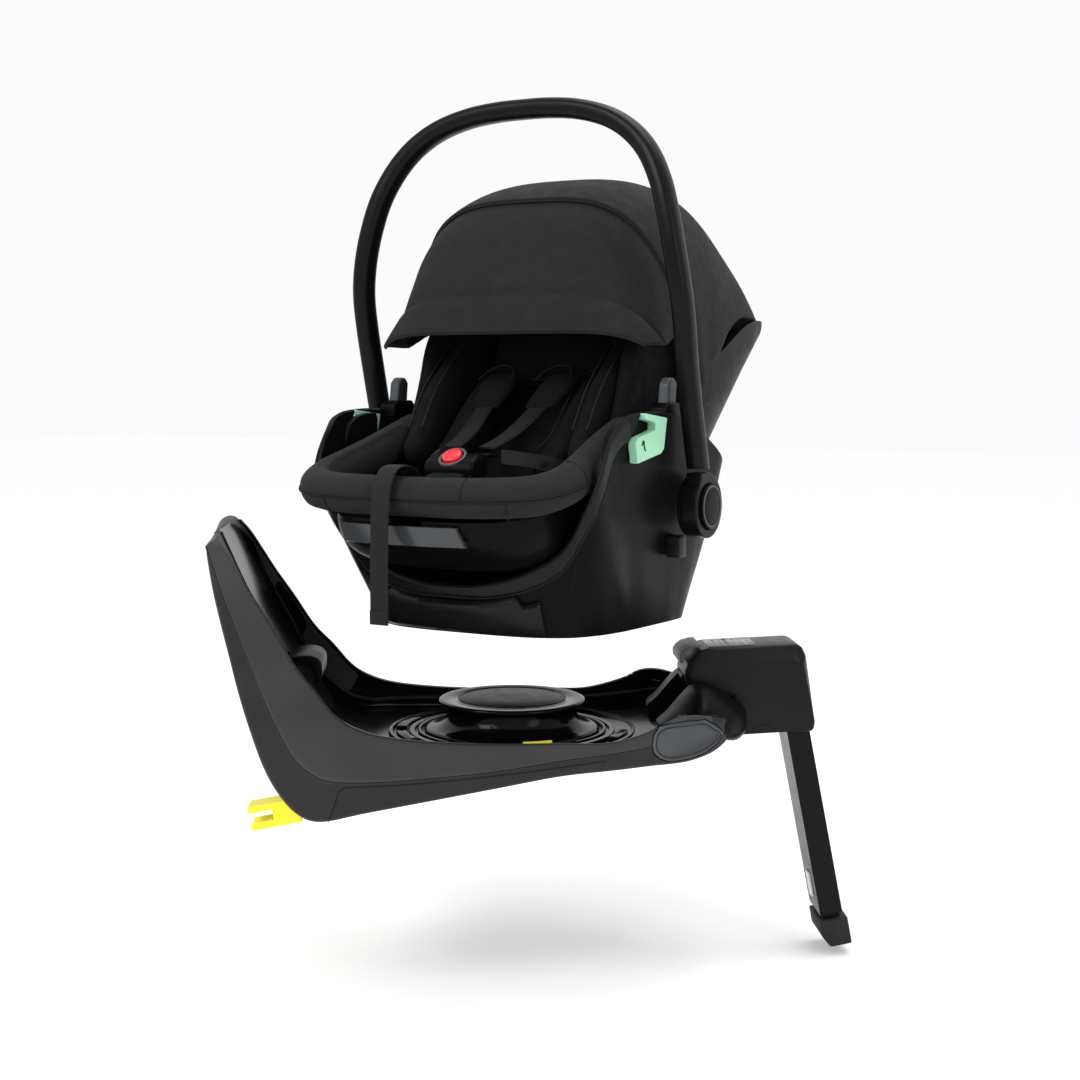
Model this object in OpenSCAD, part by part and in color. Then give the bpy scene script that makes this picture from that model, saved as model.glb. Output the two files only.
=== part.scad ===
// Infant car seat: a carrier with a carry handle, canopy and reclining inner seat, held above the
// turntable of its swivelling vehicle base. Millimetres, +Z up. The origin is on the swivel axis at
// the turntable's top face. +Y points to the carrier's head end and +X to its right-hand side.

/* [Docking] */
// Height of the carrier's underside above the turntable
lift = 95; // [20:1:140]
// Angle of the base about the swivel axis, measured from the carrier's right-hand side
base_yaw = 33; // [0:1:90]

/* [Base] */
// Half width of the base
base_half_w = 180; // [175:1:190]
// Slope of the base's underside, which matches a vehicle seat cushion
base_slope = 10.2; // [9:0.1:11]
// Wall thickness of the base's shells
base_wall = 4; // [3:0.5:5]
// Radius of the turntable's top disc
disc_r = 90; // [80:1:92]
// Distance between the two lower anchorage hooks
anchor_spacing = 280; // [270:1:290]

/* [Support leg] */
// Slant of the leg from the vertical
leg_tilt = 11; // [9:0.5:12]
// Length of the outer leg tube
leg_len = 244; // [230:1:260]
// Width of the leg across the car
leg_w = 64; // [50:1:66]
// Depth of the leg along the car
leg_d = 28; // [26:1:28]

/* [Carrier] */
// Height of the handle's pivot above the carrier's underside
hub_z = 145; // [140:1:150]
// Distance of the handle's pivot behind the swivel axis
hub_y = 70; // [65:1:75]
// Radius of the handle's hubs
hub_r = 38; // [34:1:40]
// Wall thickness of the cradle
cradle_wall = 6; // [4:0.5:7]
// Wall thickness of the reclining seat shell
shell_wall = 5; // [3:0.5:6]
// Width of the harness webbing
web_w = 24; // [20:1:30]

/* [Hidden] */

gap = 0.5;
tub_floor_z = -42;
tub_inset = 11;
tub_t = 3.2;
underside = [-223, -108];
slope_rise = tan(base_slope);
function under_z(x) = underside[1] + (x - underside[0]) * slope_rise;

// Upper edge of the base's sides, from the tall rear end to the nose: [x, z]
rim_line = [[-353, 217], [-344, 224], [-327, 196], [-300, 147], [-252, 71], [-222, 36], [-203, 13],
  [-172, -4], [-120, -14], [-42, -20], [100, -20], [150, -8], [170, 4], [200, 8], [236, 0], [264, -9]];
// Joint between the side covers and the lower shell
seam_line = [[-354, 201], [-298, 61], [-262, -16], [-238, -46], [-205, -60], [-131, -61], [-42, -53],
  [47, -40], [154, -25], [264, -14]];
// Rear edge of the base, from the top down to the underside
rear_line = [[-355, 201], [-352, 184], [-336, 118], [-312, 30], [-286, -45], [-265, -83],
  [-246, -100]];
// Inner face of the tall rear end, from the top down to the tub's floor
lining_line = [[-348, 215], [-334, 188], [-303, 111], [-272, 50], [-245, 0], [-215, -32],
  [-192, tub_floor_z]];
// Half of the base seen from the nose, as [y, z]: the tall rear end narrows and rounds off at the top
crown = [[0, 227], [50, 225], [78, 221], [100, 210], [117, 195], [131, 171], [141, 147], [147, 120],
  [152, 95], [160, 66], [172, 36], [180, 0], [180, -150]];
nose_x = 264;
nose_half_w = 46;
flank_x = 110;

leg_pivot = [348, -30];
housing_half_w = 45;

iso_z = 13;
iso_slot = [26, 12];
iso_tube = [30, 16];

turn_flange_r = 108;
turn_spigot_r = 55;
running = 0.05;

// Half outlines of the cradle from the front centre to the rear centre: bottom edge [x, y]
cradle_foot = [[0, -112], [50, -111], [95, -104], [130, -84], [149, -52], [158, -18], [162, 12],
  [164, 38], [166, 70], [168, 102], [166, 134], [149, 157], [107, 169], [55, 174], [0, 175]];
// ... and top edge [x, y, z]
cradle_top = [[0, -141, 60], [50, -141, 64], [98, -137, 78], [141, -128, 105], [175, -138, 150],
  [192, -139, 187], [194, -114, 233], [200, -78, 253], [203, 10, 256], [203, 60, 246],
  [203, 130, 222], [196, 186, 192], [150, 222, 168], [80, 240, 160], [0, 244, 158]];
// Stations of the seat shell: [rim y, half width, rim z, keel y, keel z]
shell_stations = [[-228, 26, 140, -226, 128], [-221, 78, 140, -217, 115], [-200, 112, 141, -194, 98],
  [-165, 136, 146, -159, 80], [-110, 146, 163, -110, 75], [-50, 164, 184, -50, 68],
  [10, 173, 210, 10, 64], [80, 178, 258, 72, 68], [150, 181, 298, 140, 94], [230, 180, 336, 225, 178],
  [300, 177, 364, 304, 256], [345, 174, 372, 347, 304], [378, 166, 370, 378, 342],
  [394, 136, 367, 394, 358]];
// Centre of the rim pad, right half: [x, y, z]
pad_path = [[0, -219, 167], [52, -220, 167], [104, -214, 168], [146, -194, 171], [162, -158, 180],
  [159, -112, 193], [153, -62, 209], [151, -16, 224], [150, 20, 235]];
pad_half = [20, 24];
// Seat surface in the middle of the seat, from the front to the head end: [y, z]
seat_line = [[-158, 166], [-138, 174], [-118, 178], [-70, 162], [-20, 158], [20, 186], [60, 228],
  [100, 268], [150, 316], [205, 362]];
seat_pad_t = 16;
seat_half_w = 98;
// Handle centre line, right half, from the top down to the hub: [x, y, z]
handle_path = [[0, 31, 619], [38, 30, 618], [78, 28, 613], [118, 25, 601], [150, 21, 582],
  [175, 16, 556], [194, 9, 522], [206, 4, 485], [215, 2, 445], [221, 5, 405], [223, 13, 365],
  [222, 26, 305], [222, 42, 245], [221, 60, 190]];
handle_half = [12, 15];
// Pivot of the canopy on the seat shell: [y, z]
canopy_pivot = [150, 230];
// Adjuster strap, from the slot in the seat front over the rim pad and down: [y, z]
strap_x = -17;
strap_path = [[-181, 158], [-184, 176], [-192, 190], [-205, 198], [-220, 200], [-235, 196],
  [-245, 184], [-250, 168], [-253, 145], [-254, 115], [-255, 85], [-255, 55], [-255, 26]];

// ---------- shared shapes ----------
function lerp(a, b, t) = a + (b - a) * t;
function spline_step(a, b, c, d, t) = 0.5 * (2 * b + (c - a) * t + (2 * a - 5 * b + 4 * c - d) * t * t
  + (3 * b - a - 3 * c + d) * t * t * t);
// Smooth curve through points p at 0 <= u <= 1
function curve(p, u) = let(n = len(p) - 1, i = min(floor(u * n), n - 1))
  spline_step(p[max(i - 1, 0)], p[i], p[i + 1], p[min(i + 2, n)], u * n - i);
// Smooth curve of a half list and its mirror image about x = 0, for -1 <= u <= 1
function both_sides(half) = concat([for (i = [len(half) - 1:-1:1])
  [for (k = [0:len(half[i]) - 1]) k == 0 ? -half[i][0] : half[i][k]]], half);
// Superellipse ring of n points
function super_ring(a, b, n, power) = [for (i = [0:n - 1]) let(t = 360 * i / n, c = cos(t), s = sin(t))
  [a * sign(c) * pow(abs(c), 2 / power), b * sign(s) * pow(abs(s), 2 / power)]];

// Solid through a list of rings that all have the same number of points. A shell's ring runs along
// its outer face and back along its inner face, and its ends are closed by a strip between the two.
module loft(rings, flip = false, shell = false) {
  n = len(rings);
  m = len(rings[0]);
  start = (n - 1) * m;
  sides = [for (i = [0:n - 2], j = [0:m - 1]) let(j2 = (j + 1) % m)
    [i * m + j, i * m + j2, (i + 1) * m + j2, (i + 1) * m + j]];
  caps = shell ? [for (j = [0:m / 2 - 2]) each [[j + 1, j, m - 1 - j, m - 2 - j],
      [start + j, start + j + 1, start + m - 2 - j, start + m - 1 - j]]]
    : [[for (j = [m - 1:-1:0]) j], [for (j = [0:m - 1]) start + j]];
  faces = concat(sides, caps);
  polyhedron([for (r = rings, p = r) p],
    flip ? [for (f = faces) [for (k = [len(f) - 1:-1:0]) f[k]]] : faces, convexity = 10);
}
// Prism across the width, from an outline in [y, z]
module across(points, x0, x1) {
  translate([x0, 0, 0]) rotate([90, 0, 90]) linear_extrude(height = x1 - x0) polygon(points);
}
// Prism across the base, from an outline in the base's [x, z]
module base_across(points, half_w) {
  rotate([90, 0, 0]) linear_extrude(height = 2 * half_w, center = true) polygon(points);
}
module mirrored_pair() {
  children();
  mirror([1, 0, 0]) children();
}
module in_base() { rotate([0, 0, base_yaw]) children(); }
module in_carrier() { translate([0, 0, lift]) children(); }
// Frame of the sloping underside: x along it towards the nose, z square to it
module on_slope() { translate([underside[0], 0, underside[1]]) rotate([0, -base_slope, 0]) children(); }
module on_leg() { translate([leg_pivot[0], 0, leg_pivot[1]]) rotate([0, -leg_tilt, 0]) children(); }

// ---------- base ----------
function flank(inset) = [for (i = [0:10]) let(a = 90 * i / 10,
    w = base_half_w - inset, dx = nose_x - inset - flank_x, dy = w - nose_half_w)
  [flank_x + dx * pow(sin(a), 0.85), -(nose_half_w + dy * pow(cos(a), 0.85))]];
module base_plan(inset, low = -130, high = 260) {
  right = flank(inset);
  left = [for (i = [len(right) - 1:-1:0]) [right[i][0], -right[i][1]]];
  translate([0, 0, low]) linear_extrude(height = high - low)
    polygon(concat([[-360, -(base_half_w - inset)]], right, left, [[-360, base_half_w - inset]]));
}
module base_body(inset) {
  intersection() {
    base_plan(inset);
    rotate([90, 0, 90]) linear_extrude(height = 800, center = true) offset(delta = -inset)
      polygon(both_sides(crown));
  }
}
function reversed(p) = [for (i = [len(p) - 1:-1:0]) p[i]];
function raised(p, dz) = [for (q = p) [q[0], q[1] + dz]];

// Outline of an arrow-shaped swivel button, centred on the flank
module button_outline(grow = 0) {
  r = 19 + grow;
  union() {
    circle(r = r, $fn = 48);
    polygon([[0, -r], [14 + grow, -r], [43 + grow * 1.6, 0], [14 + grow, r], [0, r]]);
  }
}
module on_flank(side) {
  scale([1, side, 1]) translate([193, -152, -17]) rotate([0, -6, 0]) rotate([90, 0, 42]) children();
}
module button_pocket(side) { on_flank(side) translate([0, 0, -14]) linear_extrude(height = 44) button_outline(1); }

module base_side(side) {
  color("#3a3a3b") in_base() difference() {
    intersection() {
      base_across(concat(rim_line, reversed(raised(seam_line, gap))), base_half_w + 1);
      difference() {
        base_body(0);
        base_body(tub_inset - gap);
      }
      scale([1, side, 1]) union() {
        translate([-400, gap / 2, -200]) cube([500, 300, 500]);
        translate([0, nose_half_w, -200]) cube([400, 300, 500]);
      }
    }
    mirror([0, side > 0 ? 1 : 0, 0]) button_pocket(1);
  }
}
module base_side_left() { base_side(1); }
module base_side_right() { base_side(-1); }

module base_lower_shell() {
  inner_rear = [for (p = rear_line) [p[0] + base_wall, p[1]]];
  color("#2f2f30") in_base() difference() {
    intersection() {
      base_across(concat(rear_line, [[-223, -108], [nose_x, under_z(nose_x)]], reversed(seam_line)), base_half_w);
      base_body(0);
    }
    intersection() {
      base_across(concat(inner_rear, [[-240, -100], [-223, -108 + base_wall],
        [nose_x, under_z(nose_x) + base_wall], [nose_x, 300], [-355, 300]]), base_half_w - 5.5);
      base_body(5.5);
    }
    translate([200, -nose_half_w, -60]) cube([100, 2 * nose_half_w, 100]);
    for (s = [-1, 1]) on_slope()
      translate([-140, s * anchor_spacing / 2 - 19, -20]) cube([165, 38, 50]);
    button_pocket(1);
    button_pocket(-1);
  }
}

module base_tub() {
  outer = [for (p = lining_line) [p[0] - base_wall, p[1]]];
  top = raised(rim_line, -gap);
  color("#0c0c0d") in_base() difference() {
    intersection() {
      base_across(concat([for (i = [1:len(top) - 1]) top[i]],
        [[nose_x - 9, under_z(nose_x - 9) + base_wall + 1], [100, tub_floor_z - tub_t]],
        [[-194, tub_floor_z - tub_t]], reversed([for (i = [0:len(outer) - 2]) outer[i]])), 169);
      base_body(tub_inset);
    }
    intersection() {
      base_across(concat(lining_line, [[109, tub_floor_z], [nose_x, under_z(nose_x) + 10],
        [nose_x, 300], [-348, 300]]), 166);
      base_body(tub_inset + 3);
    }
    translate([0, 0, -80]) cylinder(r = turn_spigot_r + 2, h = 60, $fn = 96);
    for (r = [128, 158]) translate([0, 0, tub_floor_z - 1.5])
      rotate_extrude($fn = 96) translate([r, 0]) square([4, 4]);
    translate([199, -nose_half_w, -60]) cube([100, 2 * nose_half_w, 120]);
    button_pocket(1);
    button_pocket(-1);
  }
}

module bearing_ring() {
  color("silver") translate([0, 0, -50.6]) difference() {
    cylinder(r = 66, h = 4.2, $fn = 96);
    translate([0, 0, -1]) cylinder(r = turn_spigot_r + running, h = 7, $fn = 96);
  }
}

module anchor_frame() {
  color("silver") in_base() on_slope() {
    for (s = [-1, 1]) translate([30, s * anchor_spacing / 2, iso_z]) difference() {
      translate([0, -iso_tube[0] / 2, -iso_tube[1] / 2]) cube([165, iso_tube[0], iso_tube[1]]);
      translate([-1, -iso_slot[0] / 2, -iso_slot[1] / 2]) cube([167, iso_slot[0], iso_slot[1]]);
    }
    for (x = [60, 150]) translate([x, -anchor_spacing / 2 + iso_tube[0] / 2, iso_z - 6])
      cube([24, anchor_spacing - iso_tube[0], 8]);
  }
}

module index_strip() {
  color("#f2e500") in_base() rotate([0, 0, -90 + 4.5]) rotate_extrude(angle = 18, $fn = 96)
    translate([turn_flange_r + 1.5, tub_floor_z + 0.2]) square([4, 9.8]);
}

module rear_catch() {
  color("#4a4c4e") in_base()
    base_across([[-268, 56], [-240, 59], [-232, 52], [-232, 30], [-238, 28], [-241, 47], [-266, 44]], 42);
}

module leg_housing() {
  outline = [[214, 12], [208, 34], [226, 60], [232, 64], [344, 69], [353, 64], [358, 52], [369, -28],
    [366.5, -37], [334, -38], [275, -41], [266, -34], [266, 8]];
  inner = [[270, 4], [226, 16], [217, 32], [232, 56], [337, 63], [350, 58], [354, 48], [365, -28],
    [365, -60], [262, -60], [262, -16], [270, -16]];
  color("#101011") in_base() difference() {
    base_across(outline, housing_half_w);
    base_across(inner, leg_w / 2 + 1.5);
    translate([238, -31, 62.4]) rotate([0, -2.7, 0]) cube([60, 62, 20]);
    translate([leg_pivot[0], 0, leg_pivot[1]]) rotate([90, 0, 0])
      cylinder(r = 5 + gap, h = 200, center = true, $fn = 48);
  }
}

module control_panel() {
  color("#1a1b1c") in_base() translate([238.5, -30.5, 62.7]) rotate([0, -2.7, 0]) cube([59, 61, 2.3]);
}

module leg_hinge_pin() {
  color("silver") in_base() translate([leg_pivot[0], 0, leg_pivot[1]]) rotate([90, 0, 0])
    cylinder(r = 5, h = 2 * housing_half_w - 2, center = true, $fn = 48);
}

module turntable() {
  color("#161617") rotate_extrude($fn = 120)
    polygon(concat([[0, -50], [turn_spigot_r, -50], [turn_spigot_r, -41.6], [106, -41.6],
      [turn_flange_r, -39.5], [turn_flange_r - 1, -36]],
      [for (i = [0:8]) let(a = 90 * i / 8) [104 - 26 * sin(a), -34 + 24 * (1 - cos(a))]],
      [[disc_r - 3, -7], [disc_r, -4], [disc_r, -2], [disc_r - 2, 0], [66, 0], [66, -2], [0, -2]]));
}
module turntable_cap() {
  color("#1c1c1d") translate([0, 0, -1.9]) cylinder(r = 65.4, h = 2.3, $fn = 96);
}

module swivel_button(side) {
  color("#3f4245") in_base() on_flank(side) translate([0, 0, -8]) linear_extrude(height = 12) button_outline();
}
module swivel_button_left() { swivel_button(-1); }
module swivel_button_right() { swivel_button(1); }

module release_lip() {
  color("#3c3e40") in_base()
    base_across([[203, 47], [203.5, 55], [210, 62], [222, 66.5], [228, 67], [228, 64.6], [221.5, 61.5], [212, 56],
      [207, 47]], 34);
}

module leg_outer_tube() {
  color("#1b1b1c") in_base() on_leg() difference() {
    union() {
      translate([-leg_d / 2, -leg_w / 2, -leg_len]) cube([leg_d, leg_w, leg_len]);
      rotate([90, 0, 0]) cylinder(r = leg_d / 2, h = leg_w, center = true, $fn = 64);
    }
    translate([-leg_d / 2 + 3, -leg_w / 2 + 3, -leg_len - 1]) cube([leg_d - 6, leg_w - 6, leg_len - 20]);
    rotate([90, 0, 0]) cylinder(r = 5 + running, h = 200, center = true, $fn = 48);
    translate([-leg_d / 2 - 1, -8.5, -leg_len + 16.5]) cube([5, 17, 33]);
  }
}
module leg_inner_tube() {
  color("#2a2a2b") in_base() on_leg() difference() {
    translate([-leg_d / 2 + 3.4, -leg_w / 2 + 3.4, -leg_len - 6]) cube([leg_d - 6.8, leg_w - 6.8, 222]);
    translate([-leg_d / 2 + 6.4, -leg_w / 2 + 6.4, -leg_len - 7]) cube([leg_d - 12.8, leg_w - 12.8, 230]);
  }
}
module leg_foot() {
  low = -leg_len - 42;
  color("#141415") in_base() on_leg() intersection() {
    translate([-leg_d / 2 - 1, -leg_w / 2 - 2, low]) cube([leg_d + 4, leg_w + 4, 35.5]);
    rotate([90, 0, 0]) linear_extrude(height = 100, center = true)
      polygon([[-16, low + 36], [-16, low + 14], [-8, low], [19, low], [19, low + 36]]);
  }
}
module leg_button() {
  color("#d8d8d8") in_base() on_leg() translate([-leg_d / 2 - 2.5, -8, -leg_len + 17]) cube([3.5, 16, 32]);
}

module anchor_arm(side) {
  color("silver") in_base() on_slope() translate([-20, side * anchor_spacing / 2 - 12.5, iso_z - 5.5])
    cube([130, 25, 11]);
}
module anchor_guide(side) {
  color("#f2e500") in_base() on_slope() translate([-80, side * anchor_spacing / 2, iso_z + 0.5]) difference() {
    translate([0, -17, -13]) cube([58, 34, 28]);
    translate([-1, -20, -5]) cube([28, 40, 12]);
    translate([-1, -12, -7]) cube([60, 24, 16]);
  }
}
module anchor_hook(side) {
  color("silver") in_base() on_slope() translate([-80, side * anchor_spacing / 2, iso_z]) difference() {
    translate([27, -11, -5]) cube([32, 22, 10]);
    translate([27, 0, 0]) rotate([90, 0, 0]) cylinder(r = 3.2, h = 40, center = true, $fn = 48);
  }
}
module anchor_arm_left() { anchor_arm(1); }
module anchor_guide_left() { anchor_guide(1); }
module anchor_hook_left() { anchor_hook(1); }
module anchor_arm_right() { anchor_arm(-1); }
module anchor_guide_right() { anchor_guide(-1); }
module anchor_hook_right() { anchor_hook(-1); }

// ---------- cradle ----------
foot_loop = both_sides(cradle_foot);
top_loop = both_sides(cradle_top);
function foot_at(u) = let(p = curve(foot_loop, (u + 1) / 2)) [p[0], p[1], 0];
function top_at(u) = curve(top_loop, (u + 1) / 2);
// Outward direction in plan at u
function out_at(u) = let(a = lerp(foot_at(u - 0.01), top_at(u - 0.01), 0.5),
    b = lerp(foot_at(u + 0.01), top_at(u + 0.01), 0.5), d = [b[1] - a[1], a[0] - b[0], 0]) d / norm(d);
// Point of the cradle's outside at u, height share v, moved outwards by d
function cradle_point(u, v, d) = lerp(foot_at(u), top_at(u), v) + out_at(u) * (d + 5 * sin(180 * v));

module cradle_shell() {
  heights = [0, 0.25, 0.5, 0.75, 1];
  color("#121213") in_carrier() difference() {
    loft([for (i = [0:59]) let(u = -0.985 + 1.97 * i / 59) concat(
      [for (v = heights) cradle_point(u, v, 0)],
      [for (k = [len(heights) - 1:-1:0]) cradle_point(u, heights[k], -cradle_wall)])], shell = true);
    guide_slots();
  }
}
// The slots in the cradle's sides that hold the belt guides and leave their mouths open
module guide_slots() {
  mirrored_pair() translate([186, 0, 0]) rotate([90, 0, 90]) linear_extrude(height = 60)
    offset(delta = 0.6) polygon([for (i = [0:6]) guide_outline[i]]);
}
module dock_plate() {
  inset = cradle_wall + 3;
  pts = [for (i = [0:47]) let(u = -0.98 + 1.96 * i / 47, p = cradle_point(u, 0, -inset)) [p[0], p[1]]];
  color("#1a1a1b") in_carrier() difference() {
    translate([0, 0, 1]) linear_extrude(height = 21) polygon(pts);
    translate([0, 0, -1]) cylinder(r = disc_r + 5, h = 18, $fn = 120);
  }
}
module cradle_trim() {
  color("#2b2b2c") in_carrier() difference() {
    loft([for (i = [0:58]) let(u = -0.49 + 0.98 * i / 58,
      h = (14 + 10 * min(1, abs(u) / 0.25)) / norm(top_at(u) - foot_at(u)))
      [cradle_point(u, 1 - h, 1.4), cradle_point(u, 1, 1.4), cradle_point(u, 1, 4.4),
       cradle_point(u, 1 - h, 4.4)]], flip = true);
    guide_slots();
  }
}
module front_grip() {
  // The grip's top steps down near each end
  color("#242425") in_carrier() loft([for (i = [0:24]) let(u = 0.165 * (i / 12 - 1),
      high = abs(u) > 0.13 ? 0.54 : 0.7)
    [cradle_point(u, 0.03, 1.2), cradle_point(u, 0.36, 1.2), cradle_point(u, high, 1.2),
     cradle_point(u, high, 10), cradle_point(u, 0.03, 16)]], flip = true);
}
module recline_rail() {
  color("silver") in_carrier() {
    translate([-90, -112, 44]) rotate([0, 90, 0]) cylinder(r = 5, h = 180, $fn = 48);
    mirrored_pair() translate([60, -60, 22.5]) cube([12, 150, 16]);
  }
}
guide_outline = [[-51, 257], [4, 251], [-4, 215], [-12, 210], [-70, 201], [-75, 224], [-69, 230],
  [-26, 238], [-26, 246], [-50, 250]];
module belt_guide_right() { color("#8fc6a0") in_carrier() across(guide_outline, 196, 207.5); }
module belt_guide_left() { mirror([1, 0, 0]) belt_guide_right(); }

module hub_mount_right() {
  color("#161617") in_carrier() translate([0, hub_y, hub_z]) rotate([0, 90, 0]) {
    translate([0, 0, 205.2]) cylinder(r = hub_r - 2, h = 5, $fn = 96);
    translate([0, 0, 205.2]) cylinder(r = 8, h = 20, $fn = 64);
  }
}
module hub_mount_left() { mirror([1, 0, 0]) hub_mount_right(); }

module adapter_lever_right() {
  color("#3c3f42") in_carrier() across([[22, 256.5], [46, 256.5], [50, 290], [44, 297], [34, 297],
    [27, 290]], 184, 198);
}
module adapter_lever_left() { mirror([1, 0, 0]) adapter_lever_right(); }

// ---------- handle ----------
module handle_bow() {
  full = both_sides(handle_path);
  steps = 64;
  color("#141415") in_carrier() loft([for (i = [0:steps]) let(u = i / steps, p = curve(full, u),
      t = curve(full, min(u + 0.004, 1)) - curve(full, max(u - 0.004, 0)),
      n = [t[2], 0, -t[0]] / norm([t[2], 0, -t[0]]))
    [for (q = super_ring(handle_half[0], handle_half[1], 12, 2.8)) p + n * q[0] + [0, q[1], 0]]], flip = true);
}
module handle_hub_right() {
  color("#161617") in_carrier() difference() {
    union() {
      translate([210.8, hub_y, hub_z]) rotate([0, 90, 0]) cylinder(r = hub_r, h = 20.4, $fn = 96);
      across([[44, 168], [48, 185.5], [76, 185.5], [84, 168], [70, 150]], 210.8, 231.2);
    }
    translate([200, hub_y, hub_z]) rotate([0, 90, 0]) cylinder(r = 8 + running, h = 60, $fn = 64);
    translate([226, hub_y, hub_z]) rotate([0, 90, 0]) cylinder(r = 27.5, h = 10, $fn = 96);
  }
}
module handle_hub_left() { mirror([1, 0, 0]) handle_hub_right(); }
module handle_button_right() {
  color("#1e1e1f") in_carrier() translate([229.6, hub_y, hub_z]) rotate([0, 90, 0])
    cylinder(r = 27, h = 5.4, $fn = 96);
}
module handle_button_left() { mirror([1, 0, 0]) handle_button_right(); }

// ---------- reclining seat ----------
function station(u) = curve(shell_stations, u);
// Cross-section of the seat shell: a U from the left rim under the keel to the right rim
function shell_u(s, wall, n = 16) = [for (i = [0:n]) let(a = 180 * i / n, c = cos(a), q = sin(a),
    x = -(s[1] - wall) * sign(c) * pow(abs(c), 0.55), d = pow(abs(q), 0.62))
  [x, lerp(s[0], s[3], d), lerp(s[2], s[4] + wall, d)]];
module seat_shell() {
  steps = 44;
  color("#1d1d1e") in_carrier() loft([for (i = [0:steps]) let(s = station(i / steps))
    concat(shell_u(s, 0), reversed(shell_u(s, shell_wall)))], shell = true);
}
function along(p, dz) = [for (q = p) [q[0], q[1] + dz]];
module foam_liner() {
  color("#2a2a2a") in_carrier() across(concat(along(seat_line, -seat_pad_t - 1), [[214, 352], [228, 228],
    [160, 140], [100, 106], [40, 90], [-100, 96], [-150, 104], [-180, 122]]), -seat_half_w, seat_half_w);
}
module seat_pad() {
  color("#161616") in_carrier() across(concat(seat_line, reversed(along(seat_line, -seat_pad_t))),
    -seat_half_w, seat_half_w);
}
module rim_pad() {
  path = both_sides(pad_path);
  steps = 40;
  color("#333333") in_carrier() loft([for (i = [0:steps]) let(u = i / steps, p = curve(path, u),
      t = curve(path, min(u + 0.01, 1)) - curve(path, max(u - 0.01, 0)), n = [t[1], -t[0], 0] / norm([t[1], -t[0], 0]))
    [for (q = super_ring(pad_half[0], pad_half[1], 12, 2.6)) p + n * q[0] + [0, 0, q[1]]]]);
}
module wing_pad_right() {
  color("#191919") in_carrier() across([[-60, 196], [-20, 262], [14, 336], [70, 372], [150, 396],
    [212, 390], [238, 364], [200, 316], [130, 262], [60, 204], [0, 172]], 101, 129);
}
module wing_pad_left() { mirror([1, 0, 0]) wing_pad_right(); }
module headrest() {
  color("#171717") in_carrier() {
    across([[92, 278], [74, 300], [82, 330], [120, 372], [186, 420], [204, 412], [214, 380], [150, 324]], -92, 92);
  }
}
module recline_lever() {
  // A curved plate under the front of the seat shell, with a slanted right-hand end
  color("#4b4e51") in_carrier() loft([for (i = [0:12]) let(x = lerp(-92, 66, i / 12), y = x * x / 600,
      skew = i == 12 ? 8 : 0)
    [[x + skew, y - 224, 112], [x, y - 231.5, 135], [x, y - 237, 135], [x + skew, y - 230, 112]]], flip = true);
}

// Flat webbing through a list of points, w wide and t thick; side is the width's direction
function webbing(path, w, t, steps, side) = [for (i = [0:steps]) let(u = i / steps, p = curve(path, u),
    d = curve(path, min(u + 0.01, 1)) - curve(path, max(u - 0.01, 0)), n = cross(side, d) / norm(cross(side, d)))
  [p - side * w / 2 - n * t / 2, p + side * w / 2 - n * t / 2, p + side * w / 2 + n * t / 2,
   p - side * w / 2 + n * t / 2]];
module shoulder_straps() {
  color("#222222") in_carrier() mirrored_pair() loft(webbing([[44, 66, 300], [44, 40, 290], [38, 0, 262],
    [30, -50, 232], [24, -96, 216]], web_w, 2, 14, [1, 0, 0]));
}
module lap_straps() {
  color("#222222") in_carrier() mirrored_pair() loft(webbing([[96, -30, 190], [84, -52, 196],
    [64, -76, 202], [44, -96, 206]], web_w - 4, 2, 10, [0, 0.7, 0.714]));
}
module buckle() {
  color("#151515") in_carrier() difference() {
    translate([-34, -142, 183]) cube([68, 34, 26]);
    translate([0, -128, 200]) cylinder(r = 12.5, h = 20, $fn = 64);
  }
}
module buckle_button() {
  color("#e02020") in_carrier() translate([0, -128, 203]) cylinder(r = 12, h = 9, $fn = 64);
}
module strap_adjuster() {
  color("#1a1a1a") in_carrier() translate([strap_x - 20, -191, 150]) cube([40, 26, 5]);
}
// Ring of the strap's flat section: 8 points
function strap_ring(p, n) = [for (q = [[-12, -0.5], [-11.5, -0.9], [0, -1], [11.5, -0.9], [12, 0.5],
    [11.5, 0.9], [0, 1], [-11.5, 0.9]]) p + [q[0], 0, 0] + n * q[1]];
module adjuster_strap() {
  steps = 26;
  path = [for (q = strap_path) [strap_x, q[0], q[1]]];
  color("#2a2a2a") in_carrier() loft([for (i = [0:steps]) let(u = i / steps, p = curve(path, u),
      d = curve(path, min(u + 0.01, 1)) - curve(path, max(u - 0.01, 0)), n = [0, -d[2], d[1]] / norm(d))
    strap_ring(p, n)]);
}

// ---------- canopy ----------
// Cross-section of the canopy at angle a about its pivot, from the left edge over the top to the right:
// half width w, height r_top, lower edge r_low and power of its superellipse, as points [x, y, z]
function hood_ring(a, w, r_top, r_low, power, n = 18) = [for (i = [0:n]) let(
    low = asin(min(1, pow(r_low / r_top, power / 2))), t = lerp(180 - low, low, i / n), c = cos(t), s = sin(t),
    x = w * sign(c) * pow(abs(c), 2 / power), r = r_top * pow(s, 2 / power))
  [x, canopy_pivot[0] + r * cos(a), canopy_pivot[1] + r * sin(a)]];
function hood_shell(a, w, r_top, r_low, power, t) = concat(hood_ring(a, w, r_top, r_low, power),
  reversed(hood_ring(a, w - t, r_top - t, r_low, power)));
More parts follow.
